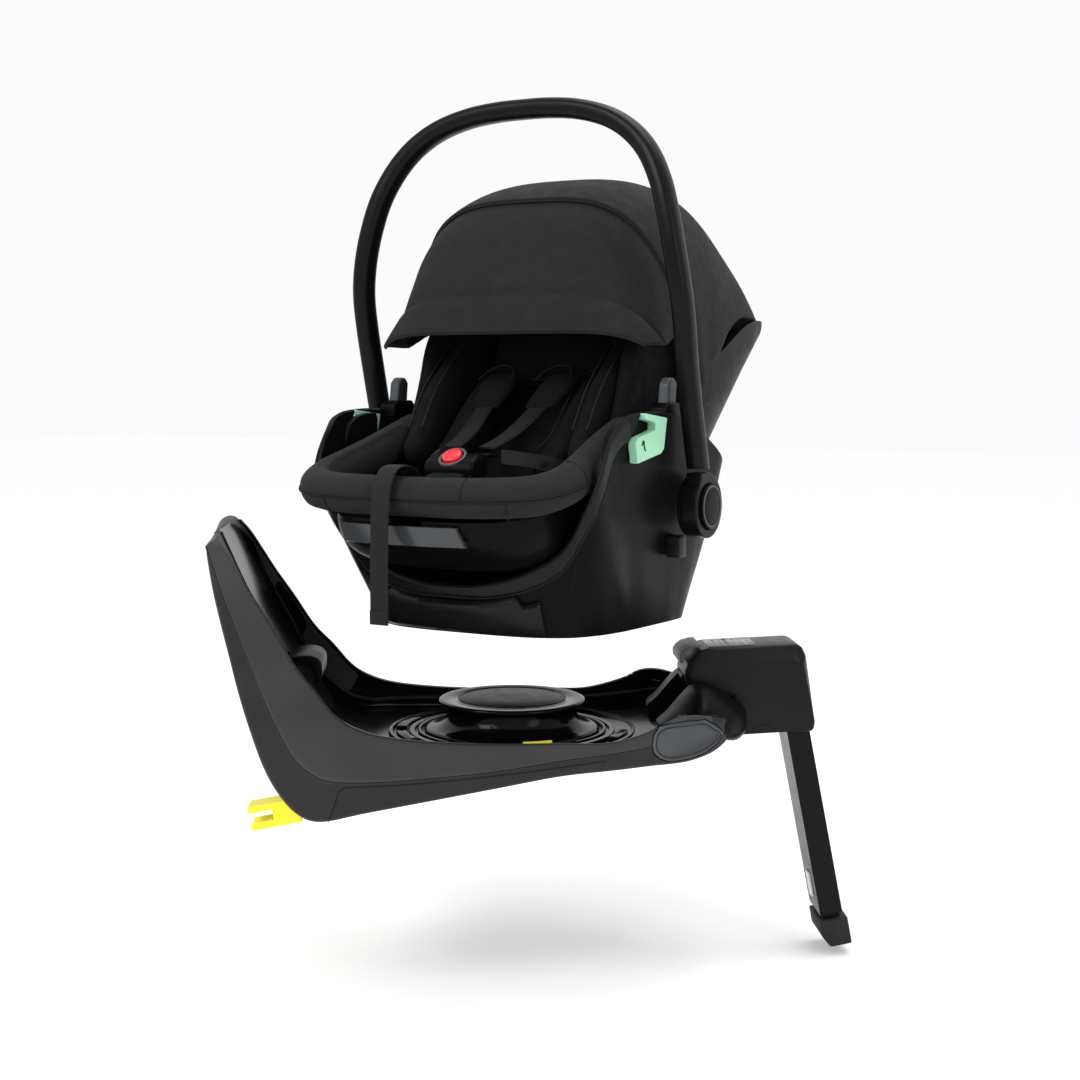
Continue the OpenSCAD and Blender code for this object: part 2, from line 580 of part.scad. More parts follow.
// Lower edge of the rear hood: [angle, distance from the pivot]
rear_low = [[34, 311], [40, 256], [46, 202], [54, 148], [64, 104], [80, 88], [96, 88], [112, 92]];
module canopy_rear() {
  n = 16;
  // The hood draws in a little towards the head end
  color("#303031") in_carrier() loft([for (i = [0:n]) let(low = curve(rear_low, i / n), a = low[0],
      r = 324 - (a < 72 ? 4 : 3) * pow((72 - a) / 38, 2), power = a < 72 ? lerp(3.6, 2.6, (a - 34) / 38) : 2.6)
    hood_shell(a, 190, r, low[1], power, 4)], shell = true);
}
// The front hood's centre line runs down in front: [angle, distance from the pivot]
front_profile = [[96, 309], [104, 309], [112, 303], [119, 282], [127, 254], [136, 230], [146, 214]];
front_low = [[96, 100], [104, 120], [112, 132], [119, 136], [127, 140], [136, 150], [146, 186]];
front_half_w = [[96, 168], [104, 168], [112, 167], [119, 164], [127, 160], [136, 157], [146, 155]];
// Power of the front hood's superellipse: round on top and squarer towards the visor
front_power = [2.6, 2.6, 2.8, 3.2, 3.8, 4.8, 6];
module canopy_front() {
  n = 14;
  color("#343435") in_carrier() loft([for (i = [0:n]) let(u = i / n, p = curve(front_profile, u))
    hood_shell(p[0], curve(front_half_w, u)[1], p[1], curve(front_low, u)[1], curve(front_power, u), 4)],
    shell = true);
}
module canopy_bow() {
  // A flat spring-steel bow just inside the front hood
  inner = hood_ring(108, 160, 298, 150, 2.7, 24);
  outer = hood_ring(108, 157, 295, 150, 2.7, 24);
  color("silver") in_carrier() loft([for (i = [0:24]) let(n = [0, sin(18), cos(18)] * 5)
    [inner[i] - n, inner[i] + n, outer[i] + n, outer[i] - n]]);
}
module canopy_pivots() {
  color("#1b1b1c") in_carrier() mirrored_pair()
    translate([184.6, canopy_pivot[0], canopy_pivot[1] + 54]) rotate([0, 90, 0]) cylinder(r = 20, h = 5, $fn = 64);
}

base_side_left();
base_side_right();
base_lower_shell();
base_tub();
bearing_ring();
anchor_frame();
index_strip();
rear_catch();
leg_housing();
control_panel();
leg_hinge_pin();
turntable();
turntable_cap();
swivel_button_left();
swivel_button_right();
release_lip();
leg_outer_tube();
leg_inner_tube();
leg_foot();
leg_button();
anchor_arm_left();
anchor_guide_left();
anchor_hook_left();
anchor_arm_right();
anchor_guide_right();
anchor_hook_right();
cradle_shell();
dock_plate();
cradle_trim();
front_grip();
recline_rail();
belt_guide_left();
belt_guide_right();
hub_mount_left();
hub_mount_right();
adapter_lever_left();
adapter_lever_right();
handle_bow();
handle_hub_left();
handle_hub_right();
handle_button_left();
handle_button_right();
seat_shell();
foam_liner();
rim_pad();
seat_pad();
wing_pad_left();
wing_pad_right();
recline_lever();
headrest();
shoulder_straps();
lap_straps();
buckle();
buckle_button();
strap_adjuster();
adjuster_strap();
canopy_rear();
canopy_front();
canopy_bow();
canopy_pivots();
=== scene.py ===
"""Looks of the infant car seat and its swivelling base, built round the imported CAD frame."""
import math

import bmesh
import bpy
import numpy as np
from mathutils import Matrix, Vector


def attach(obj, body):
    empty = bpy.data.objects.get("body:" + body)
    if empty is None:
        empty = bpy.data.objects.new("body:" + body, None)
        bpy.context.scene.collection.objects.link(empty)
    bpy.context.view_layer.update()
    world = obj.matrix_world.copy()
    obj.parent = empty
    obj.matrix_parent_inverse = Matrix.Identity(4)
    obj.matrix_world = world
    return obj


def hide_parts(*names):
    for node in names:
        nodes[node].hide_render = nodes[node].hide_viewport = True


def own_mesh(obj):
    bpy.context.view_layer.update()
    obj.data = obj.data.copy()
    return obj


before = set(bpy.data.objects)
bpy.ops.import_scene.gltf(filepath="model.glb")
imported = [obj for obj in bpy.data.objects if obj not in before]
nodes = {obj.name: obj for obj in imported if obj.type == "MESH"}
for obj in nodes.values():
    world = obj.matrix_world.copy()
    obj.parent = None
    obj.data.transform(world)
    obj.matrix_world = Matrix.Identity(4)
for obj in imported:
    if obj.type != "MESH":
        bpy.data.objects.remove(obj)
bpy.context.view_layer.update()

# Places, in millimetres, as in the part's own source
LIFT = 95                 # carrier's underside above the turntable
YAW = 33                  # the base's turn about the swivel axis, degrees
LEG_TILT = 11             # slant of the support leg, degrees
HUB = (70, 145)           # handle pivot: y, z in the carrier
HOOD = (150, 230)         # canopy pivot: y, z in the carrier
FLOOR_Z = -0.3235         # metres

MM = Matrix.Scale(0.001, 4)


def turn(axis, degrees):
    return Matrix.Rotation(math.radians(degrees), 4, axis)


def move(x, y, z):
    return Matrix.Translation((x, y, z))


CARRIER = MM @ move(0, 0, LIFT)
BASE = MM @ turn("Z", YAW)
ON_LEG = BASE @ move(348, 0, -30) @ turn("Y", -LEG_TILT)
MIRROR = Matrix.Scale(-1, 4, (1, 0, 0))


def on_hub(side):
    """Axis of a handle hub: z outwards from the carrier's middle."""
    place = CARRIER @ move(0, *HUB) @ turn("Y", 90)
    return place if side > 0 else CARRIER @ MIRROR @ move(0, *HUB) @ turn("Y", 90)


# ---------------------------------------------------------------- camera
def look_from(location, target, lens):
    data = bpy.data.cameras.new("camera")
    data.lens, data.sensor_width = lens, 36
    data.clip_start, data.clip_end = 0.05, 60
    camera = bpy.data.objects.new("camera", data)
    bpy.context.scene.collection.objects.link(camera)
    camera.location = location
    camera.rotation_euler = (Vector(target) - Vector(location)).to_track_quat("-Z", "Y").to_euler()
    bpy.context.scene.camera = camera


CAMERA_AIM = Vector((0.0398, 0.0, 0.1966))
CAMERA_AZ, CAMERA_EL, CAMERA_DISTANCE = math.radians(30), math.radians(5.5), 2.056
look_from(CAMERA_AIM + CAMERA_DISTANCE * Vector((
    math.sin(CAMERA_AZ) * math.cos(CAMERA_EL), -math.cos(CAMERA_AZ) * math.cos(CAMERA_EL),
    math.sin(CAMERA_EL))), CAMERA_AIM, 56.7)


# ---------------------------------------------------------------- materials
def shader(name, color, rough, *, metal=0.0, spec=0.5, sheen=0.0, coat=0.0, grain=900.0, bump=0.12,
           mottle=0.12, weave=None, ribs=None, edge=0.0):
    """A procedural finish. mottle is the share that colour and roughness vary by, grain the fine
    bump's frequency per metre, weave a (frequency, strength) knit, ribs a (axis, frequency) rib, and
    edge how much paler the convex edges are painted, a painted highlight along them."""
    m = bpy.data.materials.new(name)
    m.use_nodes = True
    tree = m.node_tree
    n, link = tree.nodes, tree.links.new
    b = n["Principled BSDF"]
    b.inputs["Metallic"].default_value = metal
    b.inputs["Specular IOR Level"].default_value = spec
    b.inputs["Sheen Weight"].default_value = sheen
    b.inputs["Sheen Roughness"].default_value = 0.45
    b.inputs["Coat Weight"].default_value = coat
    b.inputs["Coat Roughness"].default_value = 0.08
    at = n.new("ShaderNodeTexCoord").outputs["Object"]

    def noise(scale, detail=2.0):
        t = n.new("ShaderNodeTexNoise")
        t.inputs["Scale"].default_value = scale
        t.inputs["Detail"].default_value = detail
        link(at, t.inputs["Vector"])
        return t.outputs["Fac"]

    def remap(value, low, high):
        t = n.new("ShaderNodeMapRange")
        t.inputs["From Min"].default_value, t.inputs["From Max"].default_value = 0.3, 0.7
        t.inputs["To Min"].default_value, t.inputs["To Max"].default_value = low, high
        link(value, t.inputs["Value"])
        return t.outputs["Result"]

    def mix(factor, a, c):
        t = n.new("ShaderNodeMix")
        t.data_type = "RGBA"
        link(factor, t.inputs["Factor"])
        for socket, value in ((t.inputs["A"], a), (t.inputs["B"], c)):
            if isinstance(value, tuple):
                socket.default_value = value
            else:
                link(value, socket)
        return t.outputs["Result"]

    def tint(k):
        return (*(min(1.0, c * k) for c in color), 1)

    paint = mix(remap(noise(9), 0, 1), tint(1 - mottle), tint(1 + mottle))
    height = noise(grain, 3)
    strength = bump
    if weave:
        t = n.new("ShaderNodeTexVoronoi")
        t.inputs["Scale"].default_value = weave[0]
        link(at, t.inputs["Vector"])
        paint = mix(remap(noise(weave[0] * 0.45), 0, 1), paint, tint(1 + 2.2 * mottle))
        height, strength = t.outputs["Distance"], weave[1]
    if ribs:
        t = n.new("ShaderNodeTexWave")
        t.bands_direction = ribs[0]
        t.inputs["Scale"].default_value = ribs[1]
        link(at, t.inputs["Vector"])
        height, strength = t.outputs["Fac"], 0.35
        paint = mix(t.outputs["Fac"], tint(0.75), tint(1.2))
    # Painted highlight: convex edges, found by pointiness, are mixed towards a paler tint
    if edge:
        g = n.new("ShaderNodeNewGeometry")
        t = n.new("ShaderNodeMapRange")
        t.inputs["From Min"].default_value, t.inputs["From Max"].default_value = 0.52, 0.6
        t.inputs["To Max"].default_value = edge
        link(g.outputs["Pointiness"], t.inputs["Value"])
        paint = mix(t.outputs["Result"], paint, tint(2.2))
    link(paint, b.inputs["Base Color"])
    link(remap(noise(60), max(0.02, rough * (1 - mottle)), min(1, rough * (1 + mottle))),
         b.inputs["Roughness"])
    t = n.new("ShaderNodeBump")
    t.inputs["Strength"].default_value = strength
    t.inputs["Distance"].default_value = 0.0004
    link(height, t.inputs["Height"])
    link(t.outputs["Normal"], b.inputs["Normal"])
    return m


# Finishes given edge get a painted highlight: their convex edges are painted paler
FINISH = {
    "base_shell": shader("moulded_dark_grey", (0.024, 0.024, 0.0255), 0.42, spec=0.25, edge=0.4),
    "lower_shell": shader("moulded_charcoal", (0.014, 0.014, 0.0148), 0.45, spec=0.2, edge=0.4),
    "trim_black": shader("trim_black", (0.0065, 0.0065, 0.007), 0.34, spec=0.12, edge=0.4),
    "gloss_black": shader("gloss_black", (0.0018, 0.0018, 0.002), 0.14, spec=0.09, bump=0.02, grain=300),
    "matte_black": shader("matte_black", (0.0026, 0.0026, 0.0029), 0.36, spec=0.055, edge=0.3),
    "soft_black": shader("soft_touch_black", (0.0036, 0.0036, 0.004), 0.30, spec=0.10, bump=0.06),
    "dark_grey": shader("lever_grey", (0.045, 0.050, 0.055), 0.45, spec=0.3, edge=0.5),
    "yellow": shader("signal_yellow", (0.90, 0.80, 0.01), 0.42, bump=0.05, mottle=0.04),
    "mint": shader("mint", (0.28, 0.58, 0.38), 0.40, bump=0.05, mottle=0.05, edge=0.3),
    "panel": shader("panel_black", (0.004, 0.0045, 0.005), 0.16, spec=0.4, bump=0.02),
    "white": shader("off_white", (0.70, 0.70, 0.70), 0.5, mottle=0.05),
    "green": shader("panel_green", (0.05, 0.55, 0.10), 0.4, mottle=0.05),
    "red": shader("release_red", (0.85, 0.012, 0.02), 0.28, bump=0.03, mottle=0.05),
    "steel": shader("zinc_steel", (0.55, 0.56, 0.58), 0.28, metal=1, grain=1400, mottle=0.06),
    "rubber": shader("tread_rubber", (0.010, 0.010, 0.0105), 0.75, spec=0.3, grain=500, bump=0.3),
    "shell_fabric": shader("charcoal_weave", (0.0135, 0.0135, 0.0139), 0.85, spec=0.08, sheen=0.025,
                           weave=(1500, 0.25), mottle=0.14),
    "hem_fabric": shader("charcoal_hem", (0.0155, 0.0155, 0.016), 0.85, spec=0.08, sheen=0.025,
                         weave=(1500, 0.25), mottle=0.12),
    "seat_fabric": shader("black_jersey", (0.0042, 0.0042, 0.0044), 0.8, spec=0.07, sheen=0.014,
                          weave=(1100, 0.3), mottle=0.2),
    "webbing": shader("webbing", (0.0095, 0.0095, 0.010), 0.6, spec=0.12, sheen=0.025, ribs=("X", 420)),
    "foam": shader("lining", (0.004, 0.004, 0.0042), 0.9, spec=0.06, weave=(900, 0.3)),
    "thread": shader("thread", (0.006, 0.006, 0.0063), 0.7, spec=0.15, grain=2500, bump=0.3),
    "piping": shader("piping", (0.014, 0.014, 0.015), 0.6, spec=0.12, grain=2500, bump=0.3),
    "lever_plate": shader("smoked_plate", (0.034, 0.037, 0.040), 0.20, spec=0.25, coat=0.1, bump=0.02),
}


# ---------------------------------------------------------------- mesh helpers
def curve(points, u):
    """Smooth curve through points at 0 <= u <= 1, of any dimension."""
    p = np.asarray(points, float)
    n = len(p) - 1
    i = min(int(u * n), n - 1)
    t = u * n - i
    a, b, c, d = p[max(i - 1, 0)], p[i], p[i + 1], p[min(i + 2, n)]
    return 0.5 * (2 * b + (c - a) * t + (2 * a - 5 * b + 4 * c - d) * t * t
                  + (3 * b - a - 3 * c + d) * t ** 3)


def sampled(points, count):
    return [curve(points, k / (count - 1)) for k in range(count)]


def both_sides(half):
    """A half list and its mirror image about x = 0."""
    return [[-p[0], *p[1:]] for p in half[:0:-1]] + [list(p) for p in half]


def unit(v):
    v = np.asarray(v, float)
    return v / max(np.linalg.norm(v), 1e-9)


def super_ring(a, b, count, power):
    ring = []
    for k in range(count):
        t = 2 * math.pi * k / count
        c, s = math.cos(t), math.sin(t)
        ring.append((a * math.copysign(abs(c) ** (2 / power), c),
                     b * math.copysign(abs(s) ** (2 / power), s)))
    return ring


def finish_mesh(obj, sharp):
    mesh = obj.data
    mesh.shade_smooth()
    mesh.set_sharp_from_angle(angle=math.radians(sharp))


def add(name, verts, faces, at, body, finish, *, replaces=(), sharp=40, mods=(), closed=True):
    """A new piece from points in millimetres, placed by the matrix at, riding on a CAD body."""
    mesh = bpy.data.meshes.new(name)
    mesh.from_pydata([at @ Vector(v) for v in verts], [], faces)
    obj = bpy.data.objects.new(name, mesh)
    bpy.context.scene.collection.objects.link(obj)
    bm = bmesh.new()
    bm.from_mesh(mesh)
    bmesh.ops.remove_doubles(bm, verts=bm.verts, dist=1e-6)
    if closed:
        bmesh.ops.recalc_face_normals(bm, faces=bm.faces)
    bm.to_mesh(mesh)
    bm.free()
    for kind, values in mods:
        modifier(obj, kind, **values)
    if mods:
        bake(obj)
    mesh = obj.data
    mesh.materials.clear()
    mesh.materials.append(FINISH[finish])
    finish_mesh(obj, sharp)
    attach(obj, body)
    if replaces:
        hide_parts(*replaces)
    return obj


def modifier(obj, kind, **values):
    m = obj.modifiers.new(kind.lower(), kind)
    for key, value in values.items():
        setattr(m, key, value)
    return m


def bake(obj):
    """Applies every modifier."""
    graph = bpy.context.evaluated_depsgraph_get()
    graph.update()
    mesh = bpy.data.meshes.new_from_object(obj.evaluated_get(graph))
    obj.modifiers.clear()
    obj.data = mesh


def loft_faces(rings, size, *, ring_closed=True, caps=True, loop=False):
    faces = []
    span = size if ring_closed else size - 1
    for i in range(rings if loop else rings - 1):
        for j in range(span):
            k, i2 = (j + 1) % size, (i + 1) % rings
            faces.append((i * size + j, i * size + k, i2 * size + k, i2 * size + j))
    if caps and not loop:
        faces += [tuple(range(size))[::-1], tuple((rings - 1) * size + j for j in range(size))]
    return faces


def loft(name, rings, at, body, finish, *, ring_closed=True, caps=True, loop=False, **more):
    verts = [tuple(p) for r in rings for p in r]
    return add(name, verts, loft_faces(len(rings), len(rings[0]), ring_closed=ring_closed, caps=caps,
                                       loop=loop), at, body, finish, **more)


def sheet_loft(name, rings, thick, at, body, finish, **more):
    """An open surface through rings, given a thickness in millimetres."""
    mods = [("SOLIDIFY", {"thickness": thick * 0.001,
                          "offset": more.pop("offset", -1)})] + list(more.pop("mods", ()))
    return loft(name, rings, at, body, finish, ring_closed=False, caps=False, mods=mods,
                closed=more.pop("closed", False), **more)


def lathe(name, profile, at, body, finish, *, steps=144, **more):
    """A turned piece: profile is (radius, height) along the axis."""
    rings = [[(r * math.cos(2 * math.pi * k / steps), r * math.sin(2 * math.pi * k / steps), z)
              for k in range(steps)] for r, z in profile]
    return loft(name, rings, at, body, finish, **more)


def tube(name, path, radius, at, body, finish, *, count=None, sides=8, loop=False, smooth=True):
    """A thin round tube, such as a seam, a cord edge or a wire."""
    points = sampled(path, count or 6 * len(path)) if smooth else [np.asarray(p, float) for p in path]
    rings = []
    side = np.array([0.0, 0.0, 1.0])
    for i, p in enumerate(points):
        before = points[i - 1] if i or loop else p
        after = points[(i + 1) % len(points)] if i + 1 < len(points) or loop else p
        d = unit(after - before)
        a = np.cross(side, d)
        if np.linalg.norm(a) < 0.1:
            a = np.cross([1.0, 0.0, 0.0], d)
        a = unit(a)
        b = np.cross(d, a)
        side = b
        rings.append([p + radius * (math.cos(t) * a + math.sin(t) * b)
                      for t in (2 * math.pi * k / sides for k in range(sides))])
    return loft(name, rings, at, body, finish, loop=loop)


def prism(name, outline, low, high, at, body, finish, *, bevel=2.0, segments=3, smooth=0, axis="x", **more):
    """A rounded prism from an outline. axis "x" takes (y, z) points, "y" (x, z) and "z" (x, y)."""
    if smooth:
        outline = [closed_curve(outline, k / (smooth * len(outline))) for k in range(smooth * len(outline))]
    place = {"x": lambda a, b, h: (h, a, b), "y": lambda a, b, h: (a, h, b),
             "z": lambda a, b, h: (a, b, h)}[axis]
    rings = [[place(p[0], p[1], h) for p in outline] for h in (low, high)]
    mods = list(more.pop("mods", ()))
    if bevel:
        mods.append(("BEVEL", {"width": bevel * 0.001, "segments": segments, "limit_method": "ANGLE",
                               "angle_limit": math.radians(more.pop("limit", 28)), "harden_normals": False}))
    return loft(name, rings, at, body, finish, mods=mods, **more)


def closed_curve(points, u):
    p = np.asarray(points, float)
    n = len(p)
    i = int(u * n) % n
    t = u * n - int(u * n)
    a, b, c, d = p[i - 1], p[i], p[(i + 1) % n], p[(i + 2) % n]
    return 0.5 * (2 * b + (c - a) * t + (2 * a - 5 * b + 4 * c - d) * t * t
                  + (3 * b - a - 3 * c + d) * t ** 3)


def cut(obj, tool, solver="EXACT"):
    """Subtracts tool from obj and removes tool."""
    finish = obj.data.materials[0]
    bm = bmesh.new()
    bm.from_mesh(obj.data)
    bmesh.ops.recalc_face_normals(bm, faces=bm.faces)
    bm.to_mesh(obj.data)
    bm.free()
    modifier(obj, "BOOLEAN", operation="DIFFERENCE", object=tool, solver=solver)
    bake(obj)
    bpy.data.objects.remove(tool)
    obj.data.materials.clear()
    obj.data.materials.append(finish)
    finish_mesh(obj, 35)
    return obj


def cutter(outline, low, high, at, axis="x"):
    return prism("cutter", outline, low, high, at, "base", "foam", bevel=0, axis=axis)


def puff(obj, pressure=4.0, cap=6.0, voxel=5.0):
    """Fills a pad by cloth simulation: remeshed, blown up a little, and held within cap millimetres."""
    world = obj.matrix_world.copy()
    modifier(obj, "REMESH", mode="VOXEL", voxel_size=voxel * 0.001)
    bake(obj)
    rest = np.array([v.co for v in obj.data.vertices])
    cloth = modifier(obj, "CLOTH")
    cloth.settings.quality = 4
    cloth.settings.mass = 0.3
    cloth.settings.use_pressure = True
    cloth.settings.uniform_pressure_force = pressure
    cloth.settings.tension_stiffness = 12
    cloth.settings.effector_weights.gravity = 0
    cloth.point_cache.frame_start, cloth.point_cache.frame_end = 1, 20
    for f in range(1, 21):
        bpy.context.scene.frame_set(f)
    bake(obj)
    bpy.context.scene.frame_set(1)
    now = np.array([v.co for v in obj.data.vertices])
    step = now - rest
    length = np.linalg.norm(step, axis=1, keepdims=True)
    limit = cap * 0.001
    capped = rest + step * np.minimum(1, limit / np.maximum(length, 1e-9))
    obj.data.vertices.foreach_set("co", capped.astype(np.float32).ravel())
    modifier(obj, "SMOOTH", factor=0.6, iterations=6)
    modifier(obj, "SUBSURF", levels=1, render_levels=1)
    bake(obj)
    obj.data.shade_smooth()
    obj.matrix_world = world
    return obj


def groove(obj, at, lines, depth=3.0, width=4.0):
    """Presses sewn channels into a pad: lines are pairs of points in the place's millimetres."""
    inverse = at.inverted()
    co = np.array([inverse @ v.co for v in obj.data.vertices])
    normals = np.array([v.normal for v in obj.data.vertices])
    push = np.zeros(len(co))
    for a, b in lines:
        a, b = np.asarray(a, float), np.asarray(b, float)
        t = np.clip(((co - a) @ (b - a)) / max((b - a) @ (b - a), 1e-9), 0, 1)
        d = np.linalg.norm(co - (a + t[:, None] * (b - a)), axis=1)
        push = np.maximum(push, depth * np.exp(-(d / width) ** 2))
    moved = np.array([v.co for v in obj.data.vertices]) - normals * push[:, None] * 0.001
    obj.data.vertices.foreach_set("co", moved.astype(np.float32).ravel())
    obj.data.update()


def dress(node, finish, bevel=1.2, segments=3):
    """Gives a CAD node its finish and soft edges."""
    obj = nodes[node]
    obj.data.materials.clear()
    obj.data.materials.append(FINISH[finish])
    obj.data.shade_smooth()
    modifier(obj, "WELD", merge_threshold=0.00002)
    modifier(obj, "DECIMATE", decimate_type="DISSOLVE", angle_limit=math.radians(0.4))
    if bevel:
        modifier(obj, "BEVEL", width=bevel * 0.001, segments=segments, limit_method="ANGLE",
                 angle_limit=math.radians(32), harden_normals=True)
    modifier(obj, "WEIGHTED_NORMAL", keep_sharp=True)


# ---------------------------------------------------------------- the adjuster strap
STRAP_X = -17
STRAP_PATH = [(-181, 158), (-184, 176), (-192, 190), (-205, 198), (-220, 200), (-235, 196), (-245, 184),
              (-250, 168), (-253, 145), (-254, 115), (-255, 85), (-255, 55), (-255, 26)]


def flat_strap(name, path, wide, thick, at, body, finish, *, count=60, side=(1, 0, 0), **more):
    """Webbing through a list of points, with rounded edges; side is the width's direction."""
    points = sampled(path, count)
    rings = []
    for i, p in enumerate(points):
        d = unit(points[min(i + 1, count - 1)] - points[max(i - 1, 0)])
        w = unit(np.asarray(side, float) - d * np.dot(side, d))
        n = np.cross(w, d)
        rings.append([p + w * a + n * b for a, b in super_ring(wide / 2, thick / 2, 16, 5)])
    return loft(name, rings, at, body, finish, **more)


strap_line = [(STRAP_X, y, z) for y, z in STRAP_PATH]
adjuster = flat_strap("adjuster_webbing", strap_line, 24, 2, CARRIER, "seat", "webbing",
                      count=90, replaces=["adjuster_strap"])
strap_hem = flat_strap("adjuster_hem", [(STRAP_X, -256.6, 26.5), (STRAP_X, -256.7, 34),
                                        (STRAP_X, -256.6, 42)], 23.6, 1.2, CARRIER, "seat", "webbing",
                                        count=8)

# ---------------------------------------------------------------- handle
HANDLE_PATH = [(0, 31, 619), (38, 30, 618), (78, 28, 613), (118, 25, 601), (150, 21, 582), (175, 16, 556),
               (194, 9, 522), (206, 4, 485), (215, 2, 445), (221, 5, 405), (223, 13, 365), (222, 26, 305),
               (222, 42, 245), (221, 60, 190)]
handle_line = sampled(both_sides(HANDLE_PATH), 220)
handle_rings = []
for i, p in enumerate(handle_line):
    d = handle_line[min(i + 1, 219)] - handle_line[max(i - 1, 0)]
    n = unit([d[2], 0, -d[0]])
    handle_rings.append([p + n * a + np.array([0, b, 0]) for a, b in super_ring(12, 15, 36, 2.7)])
loft("handle_bow_cover", handle_rings, CARRIER, "handle", "soft_black", replaces=["handle_bow"])
for side, tag in ((1, "right"), (-1, "left")):
    # Parting line of the soft grip, and the boss that takes the bow into the hub
    lathe(f"hub_ring_{tag}", [(23.0, 235.2), (23.4, 235.6), (24.6, 235.6), (25.0, 235.2), (25.0, 234.6),
                              (23.0, 234.6)], on_hub(side), f"handle_button_{tag}", "dark_grey", loop=True)
    lathe(f"hub_dome_{tag}", [(0.05, 235.9), (10, 235.8), (18, 235.5), (20.5, 235.1), (20.5, 234.7),
                              (0.05, 234.7)], on_hub(side), f"handle_button_{tag}", "matte_black")
    dress(f"handle_hub_{tag}", "soft_black", 3.0, 4)
    dress(f"handle_button_{tag}", "matte_black", 1.0)
    dress(f"hub_mount_{tag}", "matte_black", 1.0)

# ---------------------------------------------------------------- cradle
CRADLE_FOOT = [(0, -112), (50, -111), (95, -104), (130, -84), (149, -52), (158, -18), (162, 12), (164, 38),
               (166, 70), (168, 102), (166, 134), (149, 157), (107, 169), (55, 174), (0, 175)]
CRADLE_TOP = [(0, -141, 60), (50, -141, 64), (98, -137, 78), (141, -128, 105), (175, -138, 150),
              (192, -139, 187), (194, -114, 233), (200, -78, 253), (203, 10, 256), (203, 60, 246),
              (203, 130, 222), (196, 186, 192), (150, 222, 168), (80, 240, 160), (0, 244, 158)]
foot_loop, top_loop = both_sides(CRADLE_FOOT), both_sides(CRADLE_TOP)


def foot_at(u):
    return np.append(curve(foot_loop, (u + 1) / 2), 0.0)


def top_at(u):
    return curve(top_loop, (u + 1) / 2)


def cradle_point(u, v, out):
    """Point of the cradle's outside at u round it and height share v, moved outwards by out."""
    near = (foot_at(u - 0.01) + top_at(u - 0.01)) / 2
    far = (foot_at(u + 0.01) + top_at(u + 0.01)) / 2
    d = unit([far[1] - near[1], near[0] - far[0], 0])
    return foot_at(u) + (top_at(u) - foot_at(u)) * v + d * (out + 5 * math.sin(math.pi * v))


def cradle_band(name, u0, u1, low, high, out_low, out_high, thick, finish, count=160, rows=10, **more):
    """A band round the cradle with rounded edges; low and high give the height share at u."""
    rings = []
    for i in range(count):
        u = u0 + (u1 - u0) * i / (count - 1)
        a, b = low(u), high(u)
        outer = [(a + (b - a) * k / rows, out_low + (out_high - out_low) * k / rows) for k in range(rows + 1)]
        ease = [min(1.0, 2.2 * math.sin(math.pi * min(max(k / rows, 0.02), 0.98))) for k in range(rows + 1)]
        rings.append([cradle_point(u, v, o + thick * e) for (v, o), e in zip(outer, ease)]
                     + [cradle_point(u, v, o) for v, o in reversed(outer)])
    return loft(name, rings, CARRIER, "carrier", finish, **more)


GUIDE = [(-51, 257), (4, 251), (-4, 215), (-12, 210), (-70, 201), (-75, 224), (-69, 230), (-26, 238),
         (-26, 246), (-50, 250)]
cradle_rings = []
for i in range(241):
    u = -0.985 + 1.97 * i / 240
    outer = [cradle_point(u, v / 16, 0) for v in range(17)]
    lip = [cradle_point(u, 1, -3) + np.array([0, 0, 2.2])]
    inner = [cradle_point(u, v / 16, -6) for v in range(16, -1, -1)]
    cradle_rings.append(outer + lip + inner)
cradle = loft("cradle_wall", cradle_rings, CARRIER, "carrier", "matte_black", replaces=["cradle_shell"],
              sharp=50)
for side in (CARRIER, CARRIER @ MIRROR):
    grown = [(y + math.copysign(0.6, y + 35), z + math.copysign(0.6, z - 230)) for y, z in GUIDE[:7]]
    cut(cradle, cutter(grown, 186, 246, side))


def trim_height(u):
    """Share of the cradle's height that the trim covers."""
    return (15 + 13 * min(1, abs(u) / 0.25)) / np.linalg.norm(top_at(u) - foot_at(u))


trim = cradle_band("cradle_trim_band", -0.49, 0.49, lambda u: 1 - trim_height(u), lambda u: 1.0, 0.6, 0.6,
                   3.2, "trim_black", replaces=["cradle_trim"], count=220)
for side in (CARRIER, CARRIER @ MIRROR):
    cut(trim, cutter(GUIDE[:7], 186, 246, side))
# Painted highlight: a paler bead along the trim's lower edge stands for the light line that edge catches
tube("trim_highlight_bead", [cradle_point(-0.40 + 0.80 * i / 60, 1 - trim_height(-0.40 + 0.80 * i / 60), 3.2)
                   for i in range(61)], 0.7, CARRIER, "carrier", "piping", count=200)
for u in (-0.235, 0.235):
    tube(f"trim_joint_{'left' if u < 0 else 'right'}",
         [cradle_point(u, 1 - trim_height(u) * k, 3.9) for k in (1.0, 0.7, 0.4, 0.05)], 0.35, CARRIER,
         "carrier", "thread")


def grip_top(u):
    edge = max(0.0, min(1.0, (abs(u) - 0.122) / 0.012))
    return 0.70 - 0.16 * edge * edge * (3 - 2 * edge)


